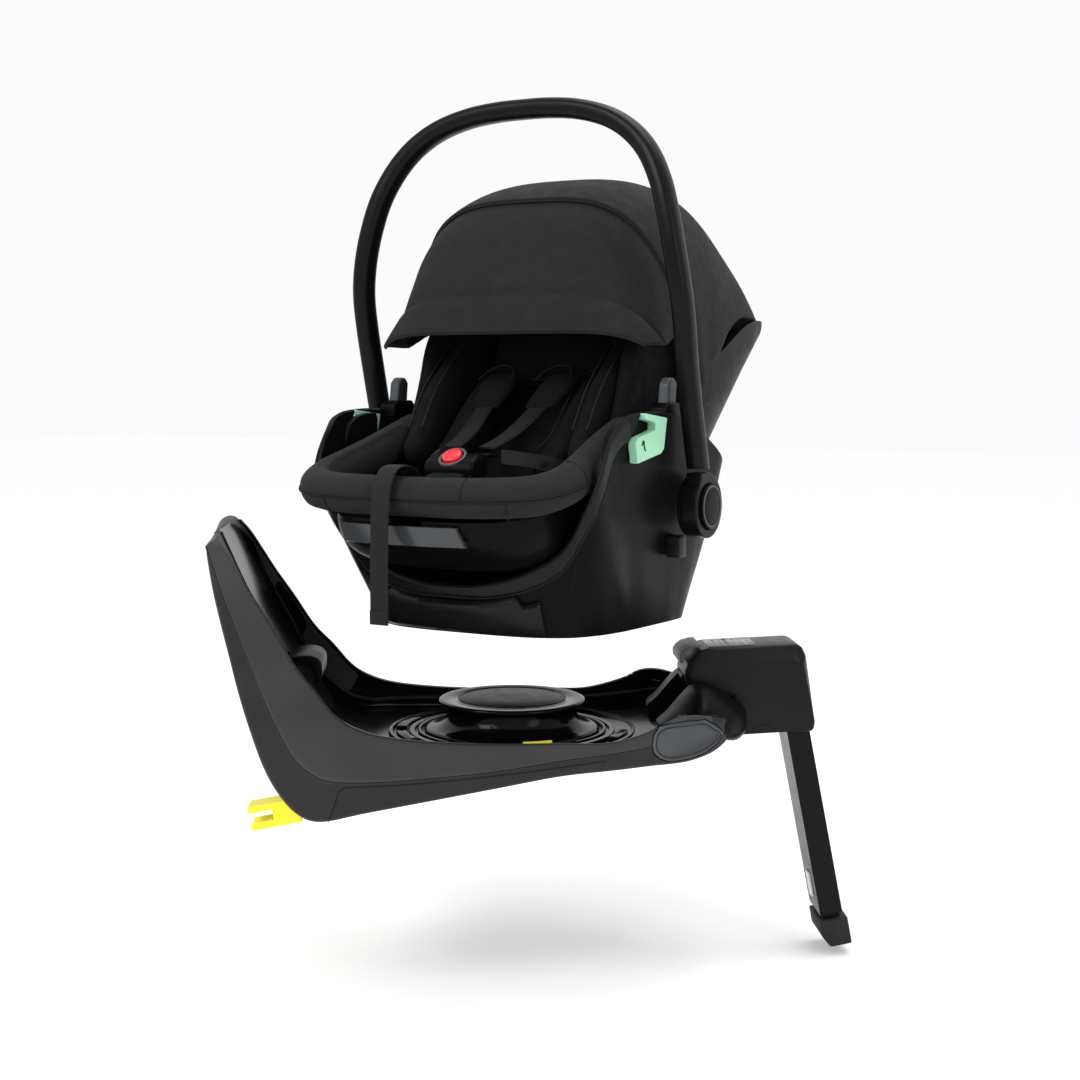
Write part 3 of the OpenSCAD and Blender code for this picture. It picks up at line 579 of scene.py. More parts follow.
cradle_band("front_grip_cover", -0.165, 0.165, lambda u: 0.03, grip_top, 1.2, 1.2, 9.5, "trim_black",
            replaces=["front_grip"], count=90, rows=8, sharp=50)
for u in (-0.182, 0.182):
    tube(f"front_seam_{'left' if u < 0 else 'right'}",
         [cradle_point(u * (1 + 0.05 * k), k / 10, 0.15) for k in range(0, 9)], 0.4, CARRIER, "carrier",
         "thread")
dress("dock_plate", "matte_black", 1.0)
dress("recline_rail", "steel", 0.6)
for tag, place in (("right", CARRIER), ("left", CARRIER @ MIRROR)):
    dress(f"belt_guide_{tag}", "mint", 1.6, 4)
    dress(f"adapter_lever_{tag}", "dark_grey", 3.4, 4)
    prism(f"lever_block_{tag}", [(10, 247), (12, 262), (18, 266.5), (20.5, 268), (52, 268), (58, 262),
                                 (60, 247)], 180, 202.4, place, "carrier", "matte_black", bevel=2)
    tube(f"guide_mark_{tag}", [(207.4, -62, 221), (207.6, -58, 226), (207.5, -56, 219), (207.4, -53, 215)],
         1.1, place, "carrier", "thread", count=24)
    # Dark plate inside the cradle's wall, behind the belt guide
    prism(f"guide_backing_{tag}", [(-84, 198), (-87, 222), (-78, 240), (-62, 249), (-40, 253), (-22, 253),
                                   (-19, 246), (-19, 202)], 184, 193.5, place, "carrier", "matte_black",
                                   bevel=2)
    # Step bracket under the hub
    prism(f"hub_bracket_{tag}", [(47, 84), (46, 108), (52, 110), (66, 110), (66, 84)], 186, 203.5, place,
          "carrier", "trim_black", bevel=1.2)


# ---------------------------------------------------------------- reclining seat shell and lining
SHELL = [(-228, 26, 140, -226, 128), (-221, 78, 140, -217, 115), (-200, 112, 141, -194, 98),
         (-165, 136, 146, -159, 80), (-110, 146, 163, -110, 75), (-50, 164, 184, -50, 68),
         (10, 173, 210, 10, 64), (80, 178, 258, 72, 68), (150, 181, 298, 140, 94), (230, 180, 336, 225, 178),
         (300, 177, 364, 304, 256), (345, 174, 372, 347, 304), (378, 166, 370, 378, 342),
         (394, 136, 367, 394, 358)]


def shell_u(s, wall, n=40):
    """Cross-section of the seat shell: a U from the left rim under the keel to the right rim."""
    ring = []
    for i in range(n + 1):
        c, q = math.cos(math.pi * i / n), math.sin(math.pi * i / n)
        d = abs(q) ** 0.62
        ring.append(np.array([-(s[1] - wall) * math.copysign(abs(c) ** 0.55, c), s[0] + (s[3] - s[0]) * d,
                              s[2] + (s[4] + wall - s[2]) * d]))
    return ring


stations = sampled(SHELL, 120)
loft("seat_shell_cover", [shell_u(s, 0) + shell_u(s, 5)[::-1] for s in stations], CARRIER, "seat",
     "matte_black", replaces=["seat_shell"], sharp=60)
sheet_loft("seat_lining", [shell_u(s, 9) for s in stations if -205 < s[0] < 380], 3, CARRIER, "seat", "foam",
           replaces=["foam_liner"])

# ---------------------------------------------------------------- padded rim
PAD_PATH = [(0, -219, 167), (52, -220, 167), (104, -214, 168), (146, -194, 171), (162, -158, 180),
            (159, -112, 193), (153, -62, 209), (151, -16, 224), (150, 20, 235)]
pad_line = sampled(both_sides(PAD_PATH), 160)
# Section of the rim: [outwards, up], with a flat sloping top, a seam edge outside and a soft inner roll
PAD_SECTION = [(21, -3), (20, 6), (14, 15), (4, 21), (-6, 23), (-14, 20), (-19.5, 12), (-21, 0), (-19, -12),
               (-11, -21), (0, -24), (10, -22), (17, -14)]


def pad_frame(i):
    p = pad_line[i]
    d = pad_line[min(i + 1, 159)] - pad_line[max(i - 1, 0)]
    return p, unit([d[1], -d[0], 0])


def pad_point(i, a, b):
    p, n = pad_frame(i)
    return p + n * a + np.array([0, 0, b])


pad_rings = []
for i in range(160):
    fade = min(1.0, 0.35 + min(i, 159 - i) / 5.0)
    pad_rings.append([pad_point(i, a * fade, b * fade) for a, b in
                      [closed_curve(PAD_SECTION, k / 40) for k in range(40)]])
rim = loft("rim_pad_cover", pad_rings, CARRIER, "seat", "shell_fabric", replaces=["rim_pad"], sharp=180)
puff(rim, pressure=2.5, cap=3.0, voxel=5.0)
rim.data.materials.clear()
rim.data.materials.append(FINISH["shell_fabric"])
tube("rim_piping", [pad_point(i, 20.8, -4) for i in range(3, 157, 3)], 1.1, CARRIER, "seat", "thread",
     count=200)
tube("rim_piping_light", [pad_point(i, 21.0, -1.8) for i in range(3, 157, 3)], 0.6, CARRIER, "seat",
     "piping", count=200)
for n, (a, b) in enumerate(((-13, 20.8), (-16.2, 18.6))):
    tube(f"rim_stitch_{n}", [pad_point(i, a, b) for i in range(14, 92, 3)], 0.5, CARRIER, "seat", "thread",
         count=160)
for n, (i, low, high) in enumerate(((94, 0.0, 0.3), (103, 0.72, 1.0), (60, 0.72, 1.0), (122, 0.0, 0.3))):
    tube(f"rim_cross_seam_{n}", [pad_point(i, *(1.012 * closed_curve(PAD_SECTION,
                                                                     (low + (high - low) * k) % 1.0)))
                                 for k in (0, 0.2, 0.4, 0.6, 0.8, 1.0)], 0.55, CARRIER, "seat", "thread",
                                 count=24)

# ---------------------------------------------------------------- pads inside the seat
SEAT_LINE = [(-158, 166), (-138, 174), (-118, 178), (-70, 162), (-20, 158), (20, 186), (60, 228),
             (100, 268), (150, 316), (205, 362)]
THICK = 16


def pad_along(name, line, half_w, thick, body, finish, replaces=(), count=60, taper=0.88, x0=0.0, drop=0.0):
    """A pad lying along a (y, z) line, with rounded ends and sides."""
    points = sampled(line, count)
    rings = []
    for i, p in enumerate(points):
        d = unit(points[min(i + 1, count - 1)] - points[max(i - 1, 0)])
        n = np.array([-d[1], d[0]])
        e = math.sin(math.pi * min(max(i / (count - 1), 0.012), 0.988)) ** 0.3
        w = half_w * (taper + (1 - taper) * e)
        rings.append([np.array([x0 + a, *(p - n * (thick / 2 + drop) + n * b * e)])
                      for a, b in super_ring(w, thick / 2, 44, 4)])
    return loft(name, rings, CARRIER, body, finish, replaces=replaces, sharp=180)


def padding(obj, finish, fill, **how):
    puff(obj, **how)
    obj.data.materials.clear()
    obj.data.materials.append(FINISH[finish])
    return obj


seat = padding(pad_along("seat_cushion", SEAT_LINE, 97, THICK, "seat", "seat_fabric", replaces=["seat_pad"]),
               "seat_fabric", 0.7, pressure=3, cap=4)
groove(seat, CARRIER, [((-90, -8, 160), (90, -8, 160)), ((-52, -150, 172), (-52, 20, 190)),
                       ((52, -150, 172), (52, 20, 190))], depth=3, width=5)
# Newborn insert: two bolsters beside the body
INSERT = [(-70, 172), (-30, 174), (10, 194), (50, 232), (90, 270), (118, 298)]
for tag, s in (("right", 1), ("left", -1)):
    rings = []
    line = sampled(INSERT, 48)
    for i, p in enumerate(line):
        e = math.sin(math.pi * min(max(i / 47, 0.02), 0.98)) ** 0.45
        d = unit(line[min(i + 1, 47)] - line[max(i - 1, 0)])
        n = np.array([-d[1], d[0]])
        rings.append([np.array([s * (74 + a * e), *(p + n * (18 + b * e))])
                      for a, b in super_ring(19, 26, 28, 2.6)])
    padding(loft(f"insert_bolster_{tag}", rings, CARRIER, "seat", "seat_fabric", sharp=180), "seat_fabric",
            0.7, pressure=3, cap=4)
    starts = line[4:44:4]
    steps = [b - a for a, b in zip(starts, line[6:46:4])]
    tube(f"insert_piping_{tag}",
         [np.array([s * (66 if k < 2 else 64), *(p + np.array([-unit(q)[1], unit(q)[0]]) * 45)])
          for k, (p, q) in enumerate(zip(starts, steps))],
         0.8, CARRIER, "seat", "piping", count=90)

# Side wings
WING = [(-58, 200), (-42, 240), (-6, 290), (44, 332), (84, 364), (150, 396), (212, 390), (238, 364),
        (200, 316), (130, 262), (60, 204), (0, 172)]
WING_OUTER = [(-26, 205), (-10, 240), (6, 275), (18, 305), (30, 340), (62, 376), (126, 404), (200, 402),
              (256, 376), (236, 330), (160, 285), (80, 240), (20, 208)]
for tag, place in (("right", CARRIER), ("left", CARRIER @ MIRROR)):
    wing = prism(f"wing_cushion_{tag}", [(y + (3 if y < 60 else -3), z) for y, z in WING], 103, 127, place,
                 "seat", "seat_fabric", replaces=[f"wing_pad_{tag}"], bevel=9, segments=4, smooth=6, limit=50)
    padding(wing, "seat_fabric", 0.75, pressure=3, cap=4)
    panel = prism(f"wing_panel_{tag}", WING_OUTER, 133, 149, place, "seat", "seat_fabric", bevel=6,
                  segments=4, smooth=6, limit=50)
    padding(panel, "seat_fabric", 0.6, pressure=2, cap=3)
    for n, x in enumerate((105.5, 124.5)):
        tube(f"wing_piping_{tag}_{n}", [(x, -39, 236), (x, -3, 286), (x, 44, 328), (x, 70, 350)], 0.9,
             place, "seat", "piping", count=70)
    tube(f"wing_stitch_{tag}", [(149.4, 2, 240), (149.6, 19, 275), (149.6, 32, 305), (149.4, 44, 338)], 0.5,
         place, "seat", "thread", count=70)

# Headrest, a padded roll with a hollow for the head
rings = []
for i in range(61):
    t = -1 + 2 * i / 60
    e = (1 - abs(t) ** 6) ** 0.5 if abs(t) < 1 else 0.0
    e = max(e, 0.12)
    lean = 10 * (1 - math.cos(math.pi * t / 1.2)) / 2
    outline = [(96, 282), (80, 302), (86, 330), (122, 369), (184, 414), (200, 406), (208, 382), (150, 328)]
    cy = sum(p[0] for p in outline) / 8
    cz = sum(p[1] for p in outline) / 8
    ring = [closed_curve(outline, k / 40) for k in range(40)]
    rings.append([np.array([90 * t, cy + (q[0] - cy) * e - lean * 0.4, cz + (q[1] - cz) * e - lean * 0.2])
                  for q in ring])
padding(loft("headrest_cushion", rings, CARRIER, "headrest", "seat_fabric", replaces=["headrest"], sharp=180),
               "seat_fabric", 0.75, pressure=3, cap=4)
tube("headrest_piping", [(-80, 84, 312), (-50, 78, 300), (0, 76, 294), (50, 78, 300), (80, 84, 312)], 0.8,
     CARRIER, "headrest", "piping", count=60)

# ---------------------------------------------------------------- harness
for tag, s in (("right", 1), ("left", -1)):
    shoulder = [(s * x, y, z) for x, y, z in ((44, 66, 300), (44, 40, 290), (38, 0, 262), (30, -50, 232),
                                              (24, -96, 216))]
    flat_strap(f"shoulder_webbing_{tag}", shoulder, 24, 2, CARRIER, "seat", "webbing",
               replaces=["shoulder_straps"] if s > 0 else ())
    for n, e in enumerate((-9.6, 9.6)):
        tube(f"shoulder_stitch_{tag}_{n}", [(x + e, y, z + 1.1) for x, y, z in shoulder], 0.35, CARRIER,
             "seat", "thread", count=50)
    lap = [(s * x, y, z) for x, y, z in ((96, -30, 190), (84, -52, 196), (64, -76, 202), (44, -96, 206))]
    flat_strap(f"lap_webbing_{tag}", lap, 20, 2, CARRIER, "seat", "webbing", side=(0, 0.7, 0.714),
               replaces=["lap_straps"] if s > 0 else ())
    # Shoulder pads: soft sleeves round the upper strap, with a piped edge
    sleeve = [(s * x, y, z) for x, y, z in ((46, 62, 302), (44, 44, 293), (41, 22, 278), (37, -4, 261))]
    line = sampled(sleeve, 30)
    rings = []
    for i, p in enumerate(line):
        d = unit(line[min(i + 1, 29)] - line[max(i - 1, 0)])
        n = np.cross([1, 0, 0], d)
        e = math.sin(math.pi * min(max(i / 29, 0.03), 0.97)) ** 0.4
        rings.append([p + np.array([a * (0.75 + 0.25 * e), 0, 0]) + n * (b * e + 2)
                      for a, b in super_ring(24, 8, 28, 2.8)])
    padding(loft(f"shoulder_pad_{tag}", rings, CARRIER, "seat", "seat_fabric", sharp=180), "seat_fabric", 0.6,
                  pressure=2.5, cap=3, voxel=4)
    arc = [(s * (41 + 23 * math.cos(t)), 4 + 48 * (0.5 + 0.5 * math.sin(t)),
            276 + 36 * (0.5 + 0.5 * math.sin(t)))
           for t in (math.radians(a) for a in range(0, 181, 15))]
    tube(f"shoulder_pad_piping_{tag}", arc, 0.9, CARRIER, "seat", "piping", count=70)

# The buckle's face slopes down to the front, with the release in the middle of it
prism("buckle_body", [(-143, 184), (-145, 193), (-141, 201), (-128, 209.5), (-114, 211), (-106, 204),
                      (-106, 184)], -33, 33, CARRIER, "seat", "matte_black", replaces=["buckle"], bevel=4.5,
                      segments=4, limit=30)
BUCKLE = CARRIER @ move(0, -131.5, 206) @ turn("X", 34)
lathe("buckle_well", [(13.9, -1), (14.0, 1.6), (15.2, 2.2), (16.8, 1.4), (17.2, -1)], BUCKLE, "seat",
      "dark_grey", loop=True, steps=96)
lathe("buckle_release", [(12, -3), (12, 3), (11.4, 4.2), (9.6, 5), (6, 5.5), (0.05, 5.7)], BUCKLE,
      "buckle_button", "red", replaces=["buckle_button"], steps=96)
for tag, s in (("right", 1), ("left", -1)):
    prism(f"buckle_tongue_{tag}", [(s * 12, -112), (s * 36, -112), (s * 40, -96), (s * 34, -86),
                                   (s * 16, -86), (s * 10, -98)], 205.5, 210.5, CARRIER, "seat",
                                   "matte_black", bevel=1.6, axis="z", limit=50)
padding(pad_along("crotch_pad", [(-164, 176), (-150, 180), (-130, 184), (-112, 186), (-96, 182)], 27, 9,
                  "seat", "seat_fabric", drop=-7), "seat_fabric", 0.5, pressure=2.5, cap=2, voxel=4)
dress("strap_adjuster", "matte_black", 1.2)

# Recline lever: a smoked plate with a slanted right-hand end
rings = []
for i in range(49):
    x = -92 + 158 * i / 48
    y = x * x / 600
    skew = 8 * max(0.0, (i - 40) / 8) ** 1.5
    rings.append([(x + skew, y - 224.5, 112.6), (x + skew * 0.5, y - 228, 123), (x, y - 231.8, 134.4),
                  (x, y - 234.4, 135), (x, y - 236.4, 134.2), (x + skew * 0.5, y - 233.4, 123),
                  (x + skew, y - 229.6, 112.6), (x + skew, y - 227, 112)])
loft("recline_plate", rings, CARRIER, "recline_lever", "lever_plate", replaces=["recline_lever"], sharp=40)

# ---------------------------------------------------------------- canopy
def hood_ring(a, w, top, low_r, power, n=60):
    """Cross-section of the canopy at angle a about its pivot, from left edge to right."""
    low = math.asin(min(1, (low_r / top) ** (power / 2)))
    a = math.radians(a)
    ring = []
    for i in range(n + 1):
        t = math.pi - low + (2 * low - math.pi) * i / n
        c, s = math.cos(t), math.sin(t)
        r = top * s ** (2 / power)
        ring.append(np.array([w * math.copysign(abs(c) ** (2 / power), c), HOOD[0] + r * math.cos(a),
                              HOOD[1] + r * math.sin(a)]))
    return ring


REAR_LOW = [(26, 285), (30, 262), (35, 228), (40, 192), (46, 146), (54, 102), (64, 76), (80, 62), (96, 60),
            (112, 66)]
REAR_TOP = [(26, 294), (31, 308), (39, 318), (48, 323), (58, 325), (68, 326), (80, 322), (90, 316),
            (100, 310), (112, 303)]
REAR_POWER = [(0, 5.0), (0, 4.2), (0, 3.5), (0, 3.1), (0, 2.9), (0, 2.8), (0, 2.9), (0, 3.1), (0, 3.3),
              (0, 3.5)]


def rear_hood(u, out=0.0):
    """Section of the rear hood, from the head end at u = 0 to the seam with the front hood at u = 1."""
    a, r = curve(REAR_TOP, u)
    low = curve(REAR_LOW, u)[1]
    # The cloth draws in a little between its sewn ribs, and down to the front hood at the seam
    rib = 2.2 * math.sin(math.pi * min(1, max(0, (a - 40) / 62)) * 2) ** 2
    join = max(0.0, (a - 96) / 16) ** 2
    return hood_ring(a, 190 + out - rib * 0.6 - 5 * join, r + out - rib, low, curve(REAR_POWER, u)[1])


FRONT = [(96, 302), (104, 299.5), (112, 297), (119, 282), (127, 256), (136, 231), (146, 214)]
FRONT_LOW = [(96, 100), (104, 120), (112, 132), (119, 136), (127, 140), (136, 150), (146, 186)]
FRONT_W = [(96, 176), (104, 179), (112, 182), (119, 183), (127, 184), (136, 188), (146, 198)]
FRONT_POWER = [(0, 3.0), (0, 3.2), (0, 3.5), (0, 3.8), (0, 4.2), (0, 4.8), (0, 6)]


def front_hood(u, out=0.0):
    """Section of the front hood, from under the rear hood at u = 0 to the visor's hem at u = 1."""
    a, r = curve(FRONT, u)
    hem = 1 / (1 + math.exp(-(u - 0.83) * 90))
    crease = 2.2 * math.exp(-((u - 0.815) / 0.022) ** 2)
    grow = out + 1.6 * hem - crease
    return hood_ring(a, curve(FRONT_W, u)[1] + grow, r + grow, curve(FRONT_LOW, u)[1],
                     curve(FRONT_POWER, u)[1])


sheet_loft("canopy_rear_cloth", [rear_hood(i / 90) for i in range(91)], 2.4, CARRIER, "seat", "shell_fabric",
           replaces=["canopy_rear"], sharp=180, offset=-1)
front_cloth = [sheet_loft("canopy_front_cloth", [front_hood(i / 90) for i in range(91)], 2.4, CARRIER,
                          "canopy_front", "shell_fabric", replaces=["canopy_front"], sharp=180, offset=-1)]
for n, u in enumerate((0.30, 0.815)):
    front_cloth.append(tube(f"canopy_seam_{n}", front_hood(u, 0.25)[2:-2:2], 0.5, CARRIER, "canopy_front",
                            "thread", count=160))
front_cloth.append(tube("canopy_hem", front_hood(1.0, -0.6), 2.0, CARRIER, "canopy_front", "hem_fabric",
                        count=200))
for piece in front_cloth:
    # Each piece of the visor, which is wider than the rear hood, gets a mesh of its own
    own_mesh(piece)
tube("canopy_rear_hem", rear_hood(1.0, -1.0), 1.4, CARRIER, "seat", "shell_fabric", count=200)
for n, u in enumerate((0.42, 0.70)):
    tube(f"canopy_rear_seam_{n}", rear_hood(u, 0.2)[3:-3:2], 0.5, CARRIER, "seat", "thread", count=160)
dress("canopy_bow", "steel", 0)
dress("canopy_pivots", "matte_black", 1.2)

# ---------------------------------------------------------------- base
HALF_W, NOSE_X, NOSE_W, FLANK_X = 180, 264, 46, 110
# Half of the base seen from the nose, as (y, z): the tall rear end narrows and rounds off at the top
CROWN = [(180, -150), (180, -60), (180, 0), (172, 36), (160, 66), (152, 95), (147, 120), (141, 147),
         (131, 171), (117, 195), (100, 210), (78, 221), (50, 225), (0, 227)]
crown_y, crown_z = np.array(sampled(CROWN, 400)).T


def crown_half(z):
    return float(np.interp(z, crown_z, crown_y))


def half_width(x, z, inset=0.0):
    """Half width of the base at (x, z): its flanks draw in towards the nose and towards the crown."""
    if x <= FLANK_X:
        plan = HALF_W - inset
    else:
        dx, dy = NOSE_X - inset - FLANK_X, HALF_W - inset - NOSE_W
        a = math.asin(min(1.0, max(0.0, (x - FLANK_X) / dx) ** (1 / 0.85)))
        plan = NOSE_W + dy * max(0.0, math.cos(a)) ** 0.85
    return min(plan, crown_half(z) - inset)


# Matched stations along the base: [rim x, z, seam x, z, underside x, z, lining x, z]
STATIONS = [
    (-338, 213, -354, 201, -355, 200, -347, 213.5), (-327, 196, -341, 169, -352, 184, -336, 192),
    (-315, 174, -325, 128, -338, 124, -317, 146), (-300, 147, -308, 86, -321, 62, -300, 104),
    (-276, 110, -288, 40, -304, 8, -278, 62), (-252, 71, -270, 2, -288, -40, -260, 26),
    (-228, 43, -253, -31, -272, -72, -242, -4), (-206, 16, -234, -50, -250, -98, -218, -31),
    (-184, 1, -212, -60, -223, -108, -186, -42), (-150, -10, -165, -62, -170, -98.5, -150, -42),
    (-90, -17, -100, -58, -100, -86, -90, -42), (-20, -20, -25, -51, -25, -72.4, -20, -42),
    (50, -20, 47, -40, 47, -59.4, 50, -42), (104, -20, 104, -33, 104, -53.5, 104, -42),
    (150, -8, 150, -25.5, 150, -49, 150, -38), (176, 5, 176, -22, 176, -48, 176, -33),
    (200, 8, 200, -19.5, 200, -46.5, 200, -28), (232, 1, 232, -16.8, 232, -40, 232, -22),
    (262, -8.5, 262, -14.4, 262, -27, 254, -17)]
fine = sampled(STATIONS, 150)
# The crown's own stations, from its middle outwards: [y, z]
ARCH = sampled([(0, 227), (25, 226.4), (50, 225), (78, 221), (94, 214)], 16)


def side_ring(low, top, flip, y=None):
    """Section of a side cover from its seam at low to its rim at top, both (x, z): a rounded edge and a
    flat inside. With y given it is a section of the crown, that far from the middle."""
    low = np.asarray(low, float) + unit(np.asarray(top, float) - low) * 0.8
    height = max(6.0, math.hypot(*(top - low)))
    r = min(5.0, height / 3)

    def at(v, depth):
        x, z = low + (top - low) * v
        level = z if y is None else top[1]
        slope = (crown_half(level + 1.5) - crown_half(level - 1.5)) / 3
        n = unit([-1, slope])
        half = half_width(x, z, 0.25) if y is None else y
        return (x, flip * max(half + n[0] * depth, 0.3 if y is not None or x < 0 else 4.0), z + n[1] * depth)

    arc = [math.pi / 2 * k / 6 for k in range(7)]
    ring = [at(k / 10 * (1 - r / height), 0) for k in range(11)]
    ring += [at(1 - (r / height) * (1 - math.sin(a)), r * (1 - math.cos(a))) for a in arc[1:]]
    ring += [at(1 - (r / height) * (1 - math.sin(a)), 10.4 - r * (1 - math.cos(a))) for a in arc[::-1]]
    return ring + [at(0, 10.4)]


# Arrow-shaped swivel button in each flank, as (x, z)
BUTTON = [(153, -23), (155, -11), (162, -3), (174, 0), (196, 1), (217, 0), (232, -10), (243, -21),
          (232, -31), (217, -38), (196, -42), (174, -43), (162, -39), (155, -32)]


def button_ring(grow, out, flip):
    """The button's outline, grown by grow, at a height of out above the flank."""
    ring = []
    for i, (x, z) in enumerate(BUTTON):
        n = unit([x - 196, (z + 21) * 2.2])
        x, z = x + n[0] * grow, z + n[1] * grow
        ring.append((x, flip * (half_width(x, z) + out / 0.87), z))
    return ring


def button_cutter(flip):
    return loft("cutter", [button_ring(1.4, -13, flip), button_ring(1.4, 14, flip)], BASE, "base", "foam")

# Rounded cheek between the flank and the leg's housing
CHEEK = [(172, -24), (186, -8), (203, 12), (216, 24), (226, 26), (237, 23), (262, 8), (276, -2), (280, -10),
         (280, -26), (276, -35), (266, -41), (240, -38), (200, -36)]


for tag, flip in (("right", -1), ("left", 1)):
    crown = [side_ring((-354.3, 203), np.array([-347 + 8 * (y / 94) ** 3, z]), flip, y) for y, z in ARCH]
    side = [side_ring(s[2:4], s[0:2], flip) for s in fine if s[0] < 226]
    cover = loft(f"side_cover_{tag}", crown + side, BASE, "base", "base_shell",
                 replaces=[f"base_side_{tag}"], sharp=45)
    cut(cover, button_cutter(flip))
    nose = [side_ring(s[2:4], s[0:2], flip) for s in fine if s[0] > 223]
    cut(loft(f"nose_skin_{tag}", nose, BASE, "base", "trim_black", sharp=45),
        button_cutter(flip))
    loft(f"nose_cheek_{tag}", [[(215 + (x - 215) * k, flip * y, -14 + (z + 14) * k)
                                for x, z in (closed_curve(CHEEK, j / 56) for j in range(56))]
                               for y, k in ((46.6, 1), (60, 1), (74, 0.97), (88, 0.89), (102, 0.76),
                                            (116, 0.58), (128, 0.36))], BASE, "base", "matte_black", sharp=60)


def trough_ring(top, low, inset, radius, rows=8, across=16, channel=0.0):
    """U section from one side's top down, round a corner and across to the other side. A channel in the
    middle leaves room for the folded leg."""
    depth = max(1.0, math.hypot(top[0] - low[0], top[1] - low[1]))
    r = min(radius, depth * 0.9)

    def at(v, back):
        x, z = low + (top - low) * v
        return (x, max(10.0, half_width(x, z, inset)) - back, z)

    half = [at(1 - (1 - r / depth) * k / rows, 0) for k in range(rows + 1)]
    half += [at((r / depth) * (1 - math.sin(a)), r * (1 - math.cos(a)))
             for a in (math.pi / 2 * k / 6 for k in range(1, 7))]
    edge = half[-1]
    for k in range(1, across + 1):
        y = edge[1] * (1 - k / across)
        half.append((edge[0], y, edge[2] + channel * min(1, max(0, (64 - y) / 20))))
    return [(x, -y, z) for x, y, z in half] + [(x, y, z) for x, y, z in half[-2::-1]]


lower = sheet_loft("lower_shell_cover", [trough_ring(s[2:4], s[4:6], 0.3, 9,
                                                     channel=12 * min(1, max(0, (s[0] - 130) / 60)))
                                                     for s in fine], 3.5, BASE, "base", "lower_shell",
                                                     replaces=["base_lower_shell"], sharp=40, offset=-1,
                                                     closed=True)
sheet_loft("tub_lining", [trough_ring(s[0:2] - (0, 0.8), s[6:8], 10.8, 14) for s in fine], 2.6, BASE,
           "base", "gloss_black", replaces=["base_tub"], sharp=40, offset=1, closed=True)
for flip in (-1, 1):
    cut(lower, button_cutter(flip), "FAST")
# Panel line that runs down to the underside behind the anchorages
for tag, y in (("right", -180.1), ("left", 180.1)):
    tube(f"panel_line_{tag}", [(-214, y, -107), (-208, y, -92), (-202, y, -74), (-198, y, -69),
                               (-186, y, -66.5), (-120, y, -64.0), (0, y, -53), (100, y, -40)], 0.45, BASE,
                               "base", "thread", count=90)

# Raised rings and slots in the gloss floor
for n, (inner, outer, top) in enumerate(((111.5, 116, -36.5), (119, 127, -37.8), (146, 152, -37.2))):
    lathe(f"floor_ring_{n}", [(inner, -42.5), (inner + 0.6, top - 0.6), (inner + 1.2, top),
                              (outer - 1.2, top), (outer - 0.5, top - 0.6), (outer, -42.5)], MM, "base",
                              "gloss_black", steps=200)
for n, (a0, a1) in enumerate(((150, 176), (186, 208), (262, 284), (330, 350))):
    arc_out = [(143 * math.cos(math.radians(a)), 143 * math.sin(math.radians(a)))
               for a in np.linspace(a0, a1, 12)]
    arc_in = [(130 * math.cos(math.radians(a)), 130 * math.sin(math.radians(a)))
              for a in np.linspace(a1, a0, 12)]
    prism(f"floor_block_{n}", arc_out + arc_in, -43, -36, BASE, "base", "gloss_black", bevel=1.5, axis="z")

# Turntable: a waisted disc with a thin bright edge
lathe("turntable_cover", [(54.9, -49.9), (54.9, -41.4), (105.5, -41.4), (107.6, -40.6), (107.9, -38.4),
                          (106.6, -36), (104, -34.2)]
      + [(104 - 26 * math.sin(a), -34 + 24 * (1 - math.cos(a)))
         for a in (math.pi / 2 * k / 16 for k in range(1, 17))]
      + [(80, -9.2), (84, -8.2), (87.5, -6.8), (89.6, -4.6), (90, -2.8), (89.2, -1), (87.4, -0.1), (86, 0),
         (66.6, 0), (66.2, -0.4), (66.2, -1.9)], MM, "turntable", "gloss_black", replaces=["turntable"],
         sharp=50, steps=220)
lathe("cap_cover", [(65.3, -1.9), (65.3, -0.1), (64.9, 0.3), (64, 0.4), (63.2, 0.1), (62.4, 0.4), (20, 0.4),
                    (0.05, 0.4)], MM, "dock_disc", "matte_black", replaces=["turntable_cap"], steps=160)
dress("index_strip", "yellow", 0.5)
dress("bearing_ring", "steel", 0.6)
dress("anchor_frame", "steel", 0.8)

# Curved catch under the horn
catch = [(-270, 57), (-255, 61), (-240, 60), (-231, 54), (-229, 44), (-231, 30), (-238, 27), (-240, 44),
         (-252, 49), (-268, 46)]
prism("rear_catch_cover", catch, -42, 42, BASE, "base", "matte_black", replaces=["rear_catch"], bevel=2.5,
      segments=4, smooth=4, axis="y", limit=50)

# Leg housing with a slot for the folded leg
HOUSING = [(214, 12), (208, 34), (213, 48), (226, 61), (236, 64.5), (290, 67), (344, 69.5), (352, 66),
           (357, 56), (369, -26), (367, -36), (359, -38.5), (334, -38), (275, -41), (266, -34), (266, 8)]
HOUSING_EDGE = [(222, 14), (217, 30), (220, 40), (230, 46), (240, 47.5), (290, 49.5), (338, 52), (347, 50),
                (352.5, 43), (368, -26), (366, -36), (358, -38.5), (334, -38), (275, -41), (267, -34),
                (268, 8)]
housing = loft("housing_cover", [[(x, y, z) for x, z in line] for y, line in
                                 ((-45, HOUSING_EDGE), (-36, HOUSING), (36, HOUSING), (45, HOUSING_EDGE))],
                                 BASE, "base", "trim_black", replaces=["leg_housing"], sharp=35,
               mods=[("BEVEL", {"width": 0.003, "segments": 4, "limit_method": "ANGLE",
                                "angle_limit": math.radians(24)})])
cut(housing, cutter([(272, -20), (330, -12), (359, -6), (367, -28), (369, -62), (262, -62), (262, -22)],
                    -33.5, 33.5, BASE, axis="y"))
for n, y in enumerate((-45.2, 45.2)):
    tube(f"housing_flap_{n}", [(282, y, -38), (300, y, -29), (310, y, -28), (320, y, -37.5)], 0.5, BASE,
         "base", "thread", smooth=False)
